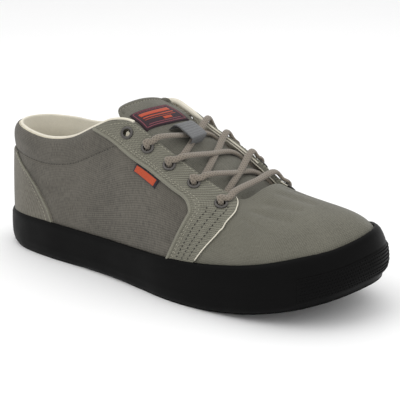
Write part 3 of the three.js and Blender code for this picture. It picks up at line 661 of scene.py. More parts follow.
def add_node(tree, kind, inputs=None, **settings):
    """A shader node with its settings and inputs; an input is a value or another node's output."""
    node = tree.nodes.new(kind)
    for key, value in settings.items():
        setattr(node, key, value)
    for key, value in (inputs or {}).items():
        if isinstance(value, bpy.types.NodeSocket):
            tree.links.new(value, node.inputs[key])
        else:
            node.inputs[key].default_value = value
    return node


def new_material(name):
    material = bpy.data.materials.new(name)
    material.use_nodes = True
    tree = material.node_tree
    tree.nodes.clear()
    return material, tree


def finish_material(tree, colour, roughness, height, bump, **extra):
    """Ends a material: the shader, its bump in metres and its output."""
    raised = add_node(tree, "ShaderNodeBump", {"Height": height, "Distance": bump, "Strength": 1.0})
    inputs = {"Base Color": colour, "Roughness": roughness, "Normal": raised.outputs[0]}
    inputs.update({key.replace("_", " "): value for key, value in extra.items()})
    shader = add_node(tree, "ShaderNodeBsdfPrincipled", inputs)
    output = add_node(tree, "ShaderNodeOutputMaterial")
    tree.links.new(shader.outputs[0], output.inputs[0])


def blend_colours(tree, share, first, second):
    return add_node(tree, "ShaderNodeMix", {0: share, 6: first, 7: second}, data_type="RGBA").outputs[2]


def math_node(tree, operation, first, second):
    return add_node(tree, "ShaderNodeMath", {0: first, 1: second}, operation=operation).outputs[0]


def waves(tree, coords, pitch, direction):
    """Even ridges of the given pitch in the coordinates' own unit."""
    return add_node(tree, "ShaderNodeTexWave", {"Vector": coords, "Scale": 0.31416 / pitch},
                    wave_type="BANDS", bands_direction=direction, wave_profile="SIN").outputs["Fac"]


def noise(tree, coords, scale, detail=4.0):
    return add_node(tree, "ShaderNodeTexNoise",
                    {"Vector": coords, "Scale": scale, "Detail": detail}).outputs["Fac"]


def darker(colour, share):
    """A colour with its light cut to a share."""
    return (*(part * share for part in colour), 1)


def spread_noise(tree, coords, scale, detail, gain):
    """Noise around zero, spread wider by gain."""
    raw = math_node(tree, "SUBTRACT", noise(tree, coords, scale, detail), 0.5)
    return math_node(tree, "MULTIPLY", raw, gain)


def woven(name, thread, depth, pitch, bump, ribs=0.0, rib_pitch=1.0, stretch=(1, 1, 1), streak=1.9):
    """Woven cotton: crossed threads with painted shade in the grooves between them, uneven slubs, faded
    patches, and ribs where they are given, with painted shade between the ribs.
    """
    material, tree = new_material(name)
    coords = add_node(tree, "ShaderNodeTexCoord").outputs["UV"]
    solid = add_node(tree, "ShaderNodeTexCoord").outputs["Object"]
    warp = waves(tree, coords, pitch, "X")
    weft = waves(tree, coords, pitch * 1.15, "Y")
    weave = math_node(tree, "MULTIPLY", warp, weft)
    slubs = add_node(tree, "ShaderNodeMapping", {"Vector": coords, "Scale": stretch}).outputs[0]
    share = math_node(tree, "ADD", spread_noise(tree, slubs, 1.8, 3.0, streak), 0.7)
    share = math_node(tree, "ADD", share, spread_noise(tree, coords, 0.5, 3.0, 0.5))
    share = math_node(tree, "ADD", share, spread_noise(tree, solid, 45.0, 2.0, 0.8))
    # Painted shade: the weave's grooves are darkened and the thread tops left light; the slub and patch
    # noise above is the cloth's own uneven tone
    share = math_node(tree, "SUBTRACT", share, math_node(tree, "MULTIPLY", weave, 0.9))
    height = weave
    if ribs:
        ridge = waves(tree, solid, rib_pitch * 0.001, "Z")
        height = math_node(tree, "ADD", math_node(tree, "MULTIPLY", ridge, ribs), weave)
        # Painted shade: the troughs between the ribs are darkened and the rib tops left light
        share = math_node(tree, "SUBTRACT", share, math_node(tree, "MULTIPLY", ridge, 0.9))
        share = math_node(tree, "ADD", share, 0.4)
    held = add_node(tree, "ShaderNodeClamp", {0: share}).outputs[0]
    colour = blend_colours(tree, held, (*thread, 1), darker(thread, depth))
    finish_material(tree, colour, 0.92, height, bump * 0.001, Sheen_Weight=0.15, Sheen_Roughness=0.5,
                    Specular_IOR_Level=0.2)
    return material


def rubber(name, colour, roughness, grain=0.04):
    """Moulded rubber: near smooth, with faint marks and a broken gloss."""
    material, tree = new_material(name)
    coords = add_node(tree, "ShaderNodeTexCoord").outputs["Object"]
    marks = noise(tree, coords, 90.0, 5.0)
    fine = noise(tree, coords, 2200.0, 2.0)
    shade = blend_colours(tree, marks, darker(colour, 0.6), darker(colour, 1.5))
    gloss = math_node(tree, "ADD", math_node(tree, "MULTIPLY", marks, 0.3), roughness - 0.15)
    finish_material(tree, shade, gloss, fine, grain * 0.001, IOR=1.52, Specular_IOR_Level=0.07)
    return material


def braided(name, thread, depth, pitch):
    """A braided cotton lace: crossed diagonal strands, with painted shade in the gaps between them."""
    material, tree = new_material(name)
    coords = add_node(tree, "ShaderNodeTexCoord").outputs["UV"]
    turned = add_node(tree, "ShaderNodeMapping", {"Vector": coords, "Rotation": (0, 0, 0.785)}).outputs[0]
    strands = math_node(tree, "MAXIMUM", waves(tree, turned, pitch, "X"), waves(tree, turned, pitch, "Y"))
    fibres = noise(tree, coords, 3.0, 3.0)
    # Painted shade: the gaps between the strands are darkened and the strand tops left light; the fibre
    # noise is the cotton's own uneven tone
    share = math_node(tree, "SUBTRACT", math_node(tree, "ADD", fibres, 0.35), strands)
    held = add_node(tree, "ShaderNodeClamp", {0: math_node(tree, "ADD", share, 0.4)}).outputs[0]
    colour = blend_colours(tree, held, (*thread, 1), darker(thread, depth))
    finish_material(tree, colour, 0.85, strands, 0.00022, Sheen_Weight=0.3, Specular_IOR_Level=0.3)
    return material


def plain_thread(name, colour):
    """Sewing thread or a fine woven tape: fine ply and slight changes of shade."""
    material, tree = new_material(name)
    coords = add_node(tree, "ShaderNodeTexCoord").outputs["Object"]
    ply = noise(tree, coords, 1500.0, 2.0)
    tint = blend_colours(tree, ply, (*colour, 1), darker(colour, 0.6))
    finish_material(tree, tint, 0.7, ply, 0.0001, Sheen_Weight=0.2, Specular_IOR_Level=0.3)
    return material


def gunmetal(name, colour):
    """Plated steel: dark, lightly brushed, brighter where it is worn."""
    material, tree = new_material(name)
    coords = add_node(tree, "ShaderNodeTexCoord").outputs["Object"]
    wear = noise(tree, coords, 600.0, 4.0)
    tint = blend_colours(tree, wear, darker(colour, 0.7), darker(colour, 1.8))
    gloss = math_node(tree, "ADD", math_node(tree, "MULTIPLY", wear, 0.2), 0.28)
    finish_material(tree, tint, gloss, wear, 0.00003, Metallic=0.9)
    return material


def foam(name, colour):
    """Closed-cell foam: fine pits, with painted shade in their bottoms."""
    material, tree = new_material(name)
    coords = add_node(tree, "ShaderNodeTexCoord").outputs["Object"]
    cells = add_node(tree, "ShaderNodeTexVoronoi", {"Vector": coords, "Scale": 700.0}).outputs["Distance"]
    # Painted shade: the pits' bottoms are darkened and the cell walls left light
    tint = blend_colours(tree, cells, darker(colour, 0.7), (*colour, 1))
    finish_material(tree, tint, 0.9, cells, 0.0002)
    return material


def make_materials(colours, sizes):
    """Every finish of the shoe by name, with what each gives the eye."""
    pitch = sizes.thread_pitch * 1000
    ribs = sizes.rib_pitch * 1000
    return {
        # Washed dark canvas of the quarters: plain weave with faint upright streaks
        "quarter": woven("quarter_canvas", colours.quarter, .45, pitch, .12, stretch=(1.0, 0.15, 1)),
        # Lighter grey-green canvas of the vamp, with longer slubs
        "vamp": woven("vamp_canvas", colours.vamp, .6, pitch, .12, stretch=(1.0, 0.35, 1), streak=1.6),
        "counter": woven("counter_canvas", colours.counter, .55, pitch, .12, stretch=(1.0, 0.2, 1)),
        # Ribbed canvas of the eyestays, its ribs level with the ground
        "eyestay": woven("ribbed_canvas", colours.eyestay, .5, pitch, .16, 1.6, ribs, (1, 1, 1), 1.2),
        # Canvas folded over the overlays' edges, coloured a little lighter than the canvas beside it as a
        # painted highlight on the raised folds
        "edge": woven("folded_edge_painted_highlight", colours.edge, .65, pitch, .08),
        "tongue": woven("tongue_canvas", colours.tongue, .55, pitch, .1, stretch=(1.0, 0.3, 1)),
        # Cream cotton of the lining and the insole's cover: soft and matt
        "lining": woven("cotton_lining", colours.lining, .78, 0.6, .07, streak=1.0),
        "cover": woven("insole_cloth", colours.cover, .75, 0.7, .08, streak=1.2),
        # Matt black rubber: a soft low gloss on the foxing, drier on the outsole
        "foxing": rubber("matt_black_rubber", colours.foxing, 0.5),
        "tread": rubber("outsole_rubber", colours.outsole, 0.7, 0.08),
        "lace": braided("braided_cotton", colours.lace, .5, 1.5),
        "metal": gunmetal("gunmetal", colours.metal),
        "light_thread": plain_thread("light_thread", colours.light_thread),
        "dark_thread": plain_thread("dark_thread", colours.dark_thread),
        # The label's plum ground and its plain woven bars
        "plum": woven("label_ground", colours.label, .6, 0.4, .05),
        "red": plain_thread("label_line", colours.label_line),
        "orange": plain_thread("label_bar", colours.label_bar),
        "tag": woven("tag_twill", colours.tag, .7, 0.5, .06),
        "navy": plain_thread("tag_border", colours.tag_border),
        "webbing": woven("keeper_webbing", colours.webbing, .6, 0.9, .14),
        "foam": foam("midsole_foam", colours.foam),
    }


def table_mesh(table):
    """A closed bmesh through a table of points, its UV map in millimetres along both ways."""
    table = np.asarray(table)
    nv, nu = table.shape[0] - 1, table.shape[1] - 1
    walked_round = walk(step_lengths(table, 1).mean(0))
    walked_up = walk(step_lengths(table).mean(1))

    def spots(a, b):
        return np.rint(a * nu).astype(int), np.rint(b * nv).astype(int)

    def place(a, b):
        column, row = spots(a, b)
        return table[row, column]

    def uv(a, b):
        column, row = spots(a, b)
        return np.stack([walked_round[column], walked_up[row]], -1)

    bm = bmesh.new()
    add_grid(bm, nu, nv, place, uv)
    return closed(bm)


def paint_faces(piece, choose):
    """Gives each face the material that choose names from its middle in the last's frame and its UV."""
    mesh = piece.data
    layer = mesh.uv_layers[0].data
    for face in mesh.polygons:
        middle = np.array(face.center) * 1000 - SHIFT
        spot = sum((layer[i].uv for i in face.loop_indices), Vector((0, 0))) / face.loop_total
        face.material_index = choose(middle, spot)


def eyelet_seats(side):
    """The place and drop of each eyelet on one side."""
    return [(row[SIDES.index(side)], row[2]) for row in EYELETS]


def cut_holes(piece, seats):
    """Cuts the eyelets' holes through a piece."""
    bm = bmesh.new()
    for t, drop in seats:
        centre, sideways, normal, up = seat(t, drop, 0.0)
        bmesh.ops.create_cone(bm, cap_ends=True, segments=24, radius1=HOLE_RADIUS, radius2=HOLE_RADIUS,
                              depth=0.013, matrix=matrix_at(centre, sideways, up, normal))
    bmesh.ops.recalc_face_normals(bm, faces=bm.faces[:])
    cutter = link_mesh("hole_cutter", bm)
    mesh = cutter.data
    cut = piece.modifiers.new("holes", "BOOLEAN")
    cut.operation = "DIFFERENCE"
    cut.solver = "EXACT"
    cut.object = cutter
    with bpy.context.temp_override(object=piece, active_object=piece, selected_objects=[piece]):
        bpy.ops.object.modifier_apply(modifier=cut.name)
    bpy.data.objects.remove(cutter)
    bpy.data.meshes.remove(mesh)


def make_upper(finish):
    """The canvas shell: quarters and vamp outside, cotton lining inside, with a rounded topline."""
    t = np.linspace(0, ROUND, 261)
    zone = 26.0

    def layer(h, offset, outer, lift=0.0):
        h = h + 0 * t
        point = last_point(t, h)
        shape = (collar_shape(t, h) - crease_depth(point)) * outer
        up = unit(last_point(t, h) - last_point(t, h - 0.02))
        return point + last_normal(t, h) * (shape + offset)[:, None] + up * lift

    rows = [layer(s * below_topline(t, zone), 0, 1) for s in np.linspace(0, 1, 25)[:-1]]
    rows += [layer(below_topline(t, drop), 0, 1) for drop in np.linspace(zone, 0, 34)]
    for angle in np.linspace(0, math.pi, 6)[1:-1]:
        rows.append(layer(1.0, (math.cos(angle) - 1) * WALL / 2, 1, math.sin(angle) * 0.8))
    first_inner = len(rows)
    rows += [layer(below_topline(t, drop), -WALL, 0) for drop in np.linspace(0, zone, 12)]
    rows += [layer(s * below_topline(t, zone), -WALL, 0) for s in np.linspace(1, 0, 13)[1:]]
    rows[-1][:, 2] = rows[0][:, 2]
    rows.append(rows[0])
    turn_in = np.cumsum(step_lengths(rows).mean(1))[first_inner - 3]
    piece = mesh_object("upper_shell", table_mesh(rows), "canvas", ["upper"], finish["quarter"],
                        finish["vamp"], finish["lining"])

    def choose(middle, spot):
        if spot.y > turn_in:
            return 2
        x, z = middle[0] / SHOE_LENGTH, middle[2] / INSTEP_HEIGHT
        return int(x > np.interp(z, [.2, .4, .5, .6], [.618, .657, .67, .662]))

    paint_faces(piece, choose)
    cut_holes(piece, eyelet_seats("lateral") + eyelet_seats("medial"))


def eyestay_edges(side):
    """The eyestay's rear edge, and its topline and front edge, as matched rows of (t, h)."""
    medial = side == "medial"
    rear = np.array([place_of(x + medial * MEDIAL_SHIFT, z, side) for x, z in EYESTAY_REAR])
    front = EYESTAY_FRONT.copy()
    if medial:
        front[:, 0] = ROUND - front[:, 0]
    return rear, front


def make_eyestay(finish, side):
    """The ribbed facing that carries the eyelets and runs down to the sole as a strap."""
    rear, front = eyestay_edges(side)

    def where(a, b):
        row = b * (len(rear) - 1)
        spot = through(rear, row) * (1 - a)[:, None] + through(front, row) * a[:, None]
        return spot[:, 0], np.minimum(spot[:, 1], 1.0)

    def place(a, b, offset):
        return outside(*where(a, b), offset)

    bm = panel(46, 130, place, 0.02, OVERLAY_TOP, 0.8)
    piece = mesh_object(f"eyestay_panel_{side}", bm, "canvas", [f"eyestay_{side}"], finish["eyestay"])
    cut_holes(piece, eyelet_seats(side))

    bm = tubes((*panel_run(where, 0.02, 0.01, 0.97, 150, OVERLAY + 0.2), 2.3, 1.9, 10, 2.0))
    mesh_object(f"eyestay_edge_{side}", bm, "canvas", [], finish["edge"])
    bm = tubes((*panel_run(where, 0.985, 0.56, 0.97, 70, OVERLAY + 0.1), 0.75, 0.8, 8, 2.0))
    mesh_object(f"strap_edge_{side}", bm, "lining", [], finish["lining"])

    light = bmesh.new()
    dark = bmesh.new()
    b = np.linspace(0.01, 0.55, 90)
    t, h = where(0 * b + 1, b)
    h = np.minimum(h, below_topline(t, 2.4))
    add_stitches(light, *surface_run(t, h, STITCH_LEVEL))
    for a in (0.13, 0.19):
        add_stitches(light, *panel_run(where, a, 0.04, 0.97, 150, STITCH_LEVEL))
    for a in (0.33, 0.53, 0.74):
        add_stitches(dark, *panel_run(where, a, 0.62, 0.97, 60, STITCH_LEVEL), 0.8)
    mesh_object(f"eyestay_stitches_{side}", light, "canvas", [], finish["light_thread"])
    mesh_object(f"strap_stitches_{side}", dark, "canvas", [], finish["dark_thread"])


def counter_edge(side):
    """The counter's front edge on one side: its t at each share of the way up it."""
    rows = np.array([place_of(x, z, side) for x, z in COUNTER_EDGE])
    t, h = rows[:, 0], rows[:, 1]
    low = at_height(t, foxing_top(t))
    high = below_topline(t, COUNTER_DROP)
    share = (h - low) / (high - low)
    order = np.argsort(share)
    return lambda v: np.interp(v, share[order], t[order])


def make_counter(finish):
    """The heel counter, its folded front edges and their stitches."""
    lateral, medial = (counter_edge(side) for side in SIDES)

    def where(a, b):
        start = medial(b) - ROUND
        t = np.mod(start + (lateral(b) - start) * a, ROUND)
        low = at_height(t, foxing_top(t) - 1.0)
        high = below_topline(t, COUNTER_DROP)
        return t, low + (high - low) * b

    def place(a, b, offset):
        return outside(*where(a, b), offset)

    bm = panel(110, 40, place, 0.02, OVERLAY_TOP, 0.8)
    mesh_object("counter_panel", bm, "counter_canvas", ["heel_counter"], finish["counter"])
    bm = tubes(*((*panel_run(where, a, 0.03, 0.99, 60, OVERLAY + 0.1), 1.5, 1.5, 10, 2.0)
                 for a in (0.008, 0.992)))
    mesh_object("counter_edges", bm, "counter_canvas", [], finish["edge"])
    stitches = bmesh.new()
    for a in (0.035, 0.965):
        add_stitches(stitches, *panel_run(where, a, 0.03, 0.99, 60, STITCH_LEVEL))
    groove = bmesh.new()
    t = np.mod(np.linspace(-5.9, 5.9, 240), ROUND)
    add_stitches(groove, *surface_run(t, below_topline(t, COLLAR_BAND), 0.1))
    mesh_object("counter_stitches", stitches, "counter_canvas", [], finish["light_thread"])
    mesh_object("collar_stitches", groove, "canvas", [], finish["dark_thread"])


def make_collar(finish):
    """The padded cream lining of the collar, which rolls over the topline, and the piping beyond it."""
    reach = 5.3
    t = np.linspace(-reach, reach, 150)
    place = np.mod(t, ROUND)
    taper = 1 - 0.75 * smooth(np.abs(t), 3.5, reach)
    end = np.sqrt(np.maximum(0, 1 - (1 - np.clip((reach - np.abs(t)) / 0.2, 0, 1)) ** 2))

    def layer(share, across, lift=0.0):
        h = below_topline(place, share * COLLAR_PAD_DEPTH)
        roll = (1 - smooth(share, 0, 0.12)) * 1.0 + lift
        swell = 0.25 + 0.75 * math.sin(math.pi * (0.12 + 0.76 * share))
        pad = COLLAR_PAD * taper * swell * end
        tuck = 0.6 * math.exp(-((share - 0.62) / 0.03) ** 2) * across
        up = unit(last_point(place, h) - last_point(place, h - 0.02))
        depth = 0.05 + pad * (0.5 + (across - 0.5) * end) - tuck
        return inside(place, h, depth) + up * roll

    rows = [layer(share, 0.0) for share in np.linspace(1, 0, 16)]
    for angle in np.linspace(0, math.pi, 8)[1:-1]:
        rows.append(layer(0.0, 0.5 - 0.5 * math.cos(angle), 1.3 * math.sin(angle)))
    rows += [layer(share, 1.0) for share in np.linspace(0, 1, 34)]
    rows.append(rows[0])
    table = np.array(rows)
    table[:, [0, -1]] = (table[:, [0, -1]] + table[::-1, [0, -1]]) / 2
    piece = mesh_object("collar_lining", table_mesh(table), "lining", ["collar_padding"], finish["lining"])

    runs = []
    for start, stop, radius, sizes in ((5.0, 7.0, (1.1, 1.3), (5.0, 7.0)),
                                       (20.9, 16.4, (0.5, 0.6, 1.9, 2.2), (16.4, 18.2, 18.8, 20.9))):
        t = np.linspace(start, stop, 90)
        wide = np.interp(t, sizes, radius)
        points, ups = surface_run(t, 0 * t + 1.0, 0.0)
        points = points - ups * (0.5 + wide)[:, None] + np.array([0.0, 0.0, 1.0])
        runs.append((points, ups, 2 * wide, 2 * wide, 12, 2.0))
    mesh_object("throat_piping", tubes(*runs), "lining", [], finish["lining"])


def make_foxing(finish):
    """The smooth rubber foxing wrapped round the sole and the upper's foot."""
    t = np.linspace(0, ROUND, 261)
    full = at_height(t, foxing_top(t))
    rows = [foxing_outside(t, 0 * t + level) for level in np.linspace(0, 1, 22)]
    behind = [last_point(t, h) + last_normal(t, h) * 0.35 for h in (full, 0.67 * full, 0.33 * full)]
    rows.append(rows[-1] * 0.5 + behind[0] * 0.5 + np.array([0, 0, 0.35]))
    rows += behind
    inner = outline(t, FOXING_THICKNESS)
    for height in (FEATHER_HEIGHT, FOXING_LIFT):
        z = height + toe_spring(inner[:, 0])
        rows.append(np.concatenate([inner, z[:, None]], -1))
    rows.append(rows[0])
    mesh_object("foxing_band", table_mesh(rows), "foxing_rubber", ["foxing"], finish["foxing"])


def make_toe_strip(finish):
    """The strip round the toe with its rows of small raised diamonds."""
    def place(a, b, offset):
        return foxing_outside(STRIP_START + STRIP_RUN * a, STRIP_LOW + STRIP_HIGH * b, offset)

    bm = panel(120, 14, place, 0.03, 0.4, 0.4)
    ends = np.linspace(0, 1, 200)
    path = place(ends, 0 * ends + 0.5, 0.0)
    walked = walk(step_lengths(path))
    pitch = bpy.context.scene.sneaker_sizes.diamond_pitch * 1000
    columns = np.arange(pitch, walked[-1] - pitch, pitch)
    for row, b in enumerate(np.linspace(0.12, 0.9, 7)):
        a = np.interp(columns + (row % 2) * pitch / 2, walked, ends)
        spot = place(a, 0 * a + b, 0.4)
        along = unit(place(a + 0.004, 0 * a + b, 0.8) - place(a - 0.004, 0 * a + b, 0.8))
        up = unit(place(a, 0 * a + b + 0.04, 0.8) - place(a, 0 * a + b - 0.04, 0.8))
        out = unit(np.cross(along, up))
        for p, x, y, z in zip(spot, along, up, out):
            bmesh.ops.create_cone(bm, cap_ends=True, segments=4, radius1=0.00095, radius2=0.0003,
                                  depth=0.0009, matrix=matrix_at(p, x, y, z))
    mesh_object("toe_strip", bm, "foxing_rubber", ["toe_bumper"], finish["foxing"])


def plate_rows(edge_low, edge_high, bottom, top, across):
    """The closed cross rows of a plate between two edges in plan, from a bottom to a top."""
    t = np.linspace(0, ROUND / 2, 221)
    rows = []
    for edge, height, shares in ((edge_low, bottom, across), (edge_high, top, across[::-1])):
        near, far = edge(t), edge(np.mod(ROUND - t, ROUND))
        for share in shares:
            flat = (near + (far - near) * share)[:, :2]
            rows.append(np.concatenate([flat, height(flat, share)[:, None]], -1))
    rows.append(rows[0])
    return rows


def make_outsole(finish):
    """The outsole with its tread: zigzag grooves inside a plain rim."""
    sizes = bpy.context.scene.sneaker_sizes
    pitch, depth = sizes.tread_pitch * 1000, sizes.tread_depth * 1000

    def edge(t):
        return outline(t, FOXING_THICKNESS + 0.02)

    def bottom(flat, share):
        x, y = flat[:, 0], flat[:, 1]
        phase = np.mod((x + 4 * np.abs(np.mod(y / 14, 2) - 1)) / pitch, 1)
        groove = smooth(np.abs(phase - 0.5), 0.3, 0.42)
        rim = smooth(min(share, 1 - share), 0.06, 0.09) * smooth(x, 8, 12) * (1 - smooth(x, 270, 276))
        return toe_spring(x) + waist_relief(x) + depth * groove * rim

    def top(flat, share):
        return OUTSOLE_THICKNESS + toe_spring(flat[:, 0])

    rows = plate_rows(edge, edge, bottom, top, np.linspace(0, 1, 61))
    mesh_object("outsole_tread", table_mesh(rows), "outsole_rubber", ["outsole"], finish["tread"])


def make_insole(finish):
    """The insole with its cloth cover, dished a little."""
    def foot(t):
        return inside(t, 0 * t, 0.6)

    def rim(t):
        return inside(t, at_height(t, FEATHER_HEIGHT + INSOLE_THICKNESS + toe_spring(plan(t)[:, 0])), 0.6)

    def bottom(flat, share):
        return FEATHER_HEIGHT + toe_spring(flat[:, 0])

    def top(flat, share):
        dish = 0.8 * (2 * share - 1) ** 4
        return FEATHER_HEIGHT + INSOLE_THICKNESS - 0.8 + dish + toe_spring(flat[:, 0])

    rows = plate_rows(foot, rim, bottom, top, np.linspace(0, 1, 25))
    piece = mesh_object("insole_sheet", table_mesh(rows), "insole_cover", ["insole"], finish["cover"])


def make_tongue(finish):
    """The padded tongue with a sewn line inside its edge."""
    s = np.concatenate([np.linspace(0, 9, 82), np.linspace(9, 10, 15)[1:]])
    turn = np.linspace(0, 2 * math.pi, 89)
    end = np.sqrt(np.maximum(0, 1 - np.clip((s - 9.5) / 0.5, 0, 1) ** 2))
    end = end * np.sqrt(np.maximum(0, 1 - np.clip((0.3 - s) / 0.3, 0, 1) ** 2))
    rows = []
    for angle in turn:
        v = -math.cos(angle)
        round_edge = math.sqrt(max(0.0, 1 - max(0.0, (abs(v) - 0.86) / 0.14) ** 2))
        half = TONGUE_THICKNESS * tongue_row("thick", s) * (1 - 0.6 * v * v) / 2
        seam = np.exp(-((s - SEAM_ROW) / 0.22) ** 2) * (abs(v) < SEAM_ACROSS)
        seam = seam + np.exp(-((abs(v) - SEAM_ACROSS) / 0.03) ** 2) * (s < SEAM_ROW)
        facing = 1.0 if angle <= math.pi else -1.0
        offset = -half + facing * (half * round_edge * end - 0.55 * seam * end)
        if angle in (turn[0], turn[-1]) or abs(math.sin(angle)) < 1e-9:
            offset = -half
        rows.append(on_tongue(s, 0 * s + v, offset))
    piece = mesh_object("tongue_pad", table_mesh(rows), "tongue_canvas", ["tongue"], finish["tongue"])

    path = [(row, -SEAM_ACROSS) for row in np.linspace(6.6, 8.6, 16)]
    path += [(SEAM_ROW, v) for v in np.linspace(-0.8, 0.8, 40)]
    path += [(row, SEAM_ACROSS) for row in np.linspace(8.6, 6.6, 16)]
    s, v = np.array(path).T
    points = on_tongue(s, v, -0.35)
    ups = on_tongue(s, v, 1.0) - points
    bm = bmesh.new()
    add_stitches(bm, points, ups)
    mesh_object("tongue_stitches", bm, "tongue_canvas", [], finish["light_thread"])


def make_label(finish):
    """The woven label across the tongue: a plum ground with plain bars and lines."""
    def place(a, b, offset):
        return on_tongue(5 + 1.9 * b, -0.43 + 0.02 * b + (0.79 - 0.15 * b) * a, offset)

    def part(a0, a1, b0, b1):
        return lambda a, b, offset: place(a0 + (a1 - a0) * a, b0 + (b1 - b0) * b, offset)

    bm = panel(24, 16, place, 0.05, 1.1, 0.6)
    mesh_object("label_cloth", bm, "woven_label", ["tongue_label"], finish["plum"])
    bars = {
        "red": [(.06, .94, .07, .1), (.06, .94, .9, .93), (.05, .07, .07, .93), (.93, .95, .07, .93),
                (.14, .86, .15, .18), (.14, .86, .84, .86)],
        "orange": [(.14, .86, .6, .78), (.14, .86, .47, .53), (.14, .86, .38, .41),
                   (.5, .7, .22, .34)],
    }
    for finish_name, boxes in bars.items():
        bm = bmesh.new()
        for box in boxes:
            add_panel(bm, 12, 6, part(*box), 1.0, 1.22, 0.15)
        mesh_object(f"label_{finish_name}_lines", closed(bm), "woven_label", [], finish[finish_name])


def make_keeper(finish):
    """The webbing keeper that bridges the lace's top crossing."""
    bridge = np.array([(3.58, 0), (3.54, .8), (3.62, .97), (3.85, 1), (4.15, .95), (4.35, .7), (4.5, 0)])

    def place(a, b, offset):
        row = through(bridge, b * (len(bridge) - 1))
        lift = 0.1 + offset + row[:, 1] * (LOOP_HEIGHT - 1.0)
        return on_tongue(row[:, 0], -0.13 + 0.28 * a, lift)

    bm = panel(14, 46, place, 0.0, 1.2, 0.5)
    mesh_object("keeper_loop", bm, "tape", ["tongue_loop"], finish["webbing"])


def make_tag(finish):
    """The bare folded tag sewn in along the eyestay's rear seam."""
    corners = np.array([place_of(x, z, "lateral") for x, z in TAG_CORNERS])

    def place(a, b, offset):
        low = corners[3] + (corners[2] - corners[3]) * a[:, None]
        high = corners[0] + (corners[1] - corners[0]) * a[:, None]
        spot = low + (high - low) * b[:, None]
        return outside(spot[:, 0], spot[:, 1], offset)

    def face(a, b, offset):
        return place(0.07 + 0.86 * a, 0.1 + 0.8 * b, offset)

    border = panel(24, 14, place, 0.02, 1.1, 0.7)
    mesh_object("tag_border", border, "side_tag", ["side_tag"], finish["navy"])
    mesh_object("tag_face", panel(24, 14, face, 0.6, 1.35, 0.5), "side_tag", [], finish["tag"])


def make_eyelets(finish):
    """Ten rolled metal eyelets: a rounded flange and a barrel through the canvas."""
    bore, barrel, rim = 2.3, 2.62, 4.2
    profile = [(bore, -3.9), (barrel, -3.9), (barrel, 0.0), (rim - 0.1, 0.0)]
    arcs = ((rim - 0.45, 0.45, 0.45, -60, 90), (bore + 0.75, 0.25, 0.75, 90, 180))
    for x, z, radius, first, last in arcs:
        for angle in (math.radians(degree) for degree in np.linspace(first, last, 6)):
            profile.append((x + radius * math.cos(angle), z + radius * math.sin(angle)))
    for row, pair in enumerate(EYELETS, start=1):
        for side, t in zip(SIDES, pair):
            bm = bmesh.new()
            verts = [bm.verts.new((x, 0, z)) for x, z in profile]
            edges = [bm.edges.new((verts[k], verts[(k + 1) % len(verts)])) for k in range(len(verts))]
            bmesh.ops.spin(bm, geom=verts + edges, cent=(0, 0, 0), axis=(0, 0, 1),
                           angle=2 * math.pi, steps=32, use_merge=True)
            centre, sideways, normal, up = seat(t, pair[2], EYELET_SEAT - EYELET_FLANGE)
            for vert in bm.verts:
                x, y, z = vert.co
                vert.co = to_row(centre + sideways * x + up * y + normal * z)
            mesh_object(f"eyelet_ring_{side}_{row}", closed(bm), "eyelet_metal",
                        [f"eyelet_{side}_{row}"], finish["metal"])


def through_eyelet(row, side):
    """The lace's rows through an eyelet, from over the topline to the inside of the upper."""
    column = SIDES.index(side)
    t, over = row[column], row[3 + column]
    crest = outside(over, 1.0, 2.9) + TONGUE_UP * 0.8
    middle = outside(over * 0.45 + t * 0.55, below_topline(t, row[2] * 0.5), 2.8)
    centre, _, normal, up = seat(t, row[2], 0.0)
    return [
        (crest, unit(last_normal(over, 1.0) + TONGUE_UP), DRAWN_WIDTH, DRAWN_DEPTH),
        (middle, last_normal(t, 0.9), DRAWN_WIDTH, 2.5),
        (centre + normal * 3.6 + up * 3.2, normal, DRAWN_WIDTH, 2.4),
        (centre + normal * 3.1 + up * 1.3, unit(normal - 0.6 * up), 4.6, 2.4),
        (centre + normal * 1.3 + up * 0.2, unit(0.3 * normal - up), 4.4, 2.6),
        (centre - normal * 1.6, -up, 4.3, 2.6),
        (centre - normal * 3.6 + up * 1.2, unit(-0.6 * up - normal), 4.8, 2.5),
    ]


def under_edge(row, side):
    """The lace's row where it comes out from beneath the topline, lying on the tongue."""
    lateral = side == "lateral"
    s = TONGUE_ROOT - row[5] if lateral else row[6] - (ROUND - TONGUE_ROOT)
    v = -TONGUE_EDGE if lateral else TONGUE_EDGE
    point = on_tongue(s, v, 1.5)[0]
    return point, unit(on_tongue(s, v, 2.5)[0] - point), DRAWN_WIDTH, DRAWN_DEPTH


def arch(first, second):
    """The lace's row half-way between two others, a little over the line between them."""
    return (first[0] + second[0]) / 2 + TONGUE_UP * 0.7, TONGUE_UP, DRAWN_WIDTH, DRAWN_DEPTH


def half_lace(side):
    """The lace's rows from the front eyelet on one side to their hidden end, crossing at each pair."""
    rows = through_eyelet(EYELETS[4], side)
    for low, high in ((4, 3), (3, 2), (2, 1)):
        edge = under_edge(EYELETS[low], side)
        side = SIDES[1 - SIDES.index(side)]
        into = through_eyelet(EYELETS[high], side)
        rows += [edge, arch(edge, into[0]), *into]
    t = EYELETS[1][SIDES.index(side)]
    point = inside(t, below_topline(t, EYELETS[1][2] - 6.0), 1.7)
    rows.append((point, -last_normal(t, 0.8), 5.0, 2.4))
    return rows


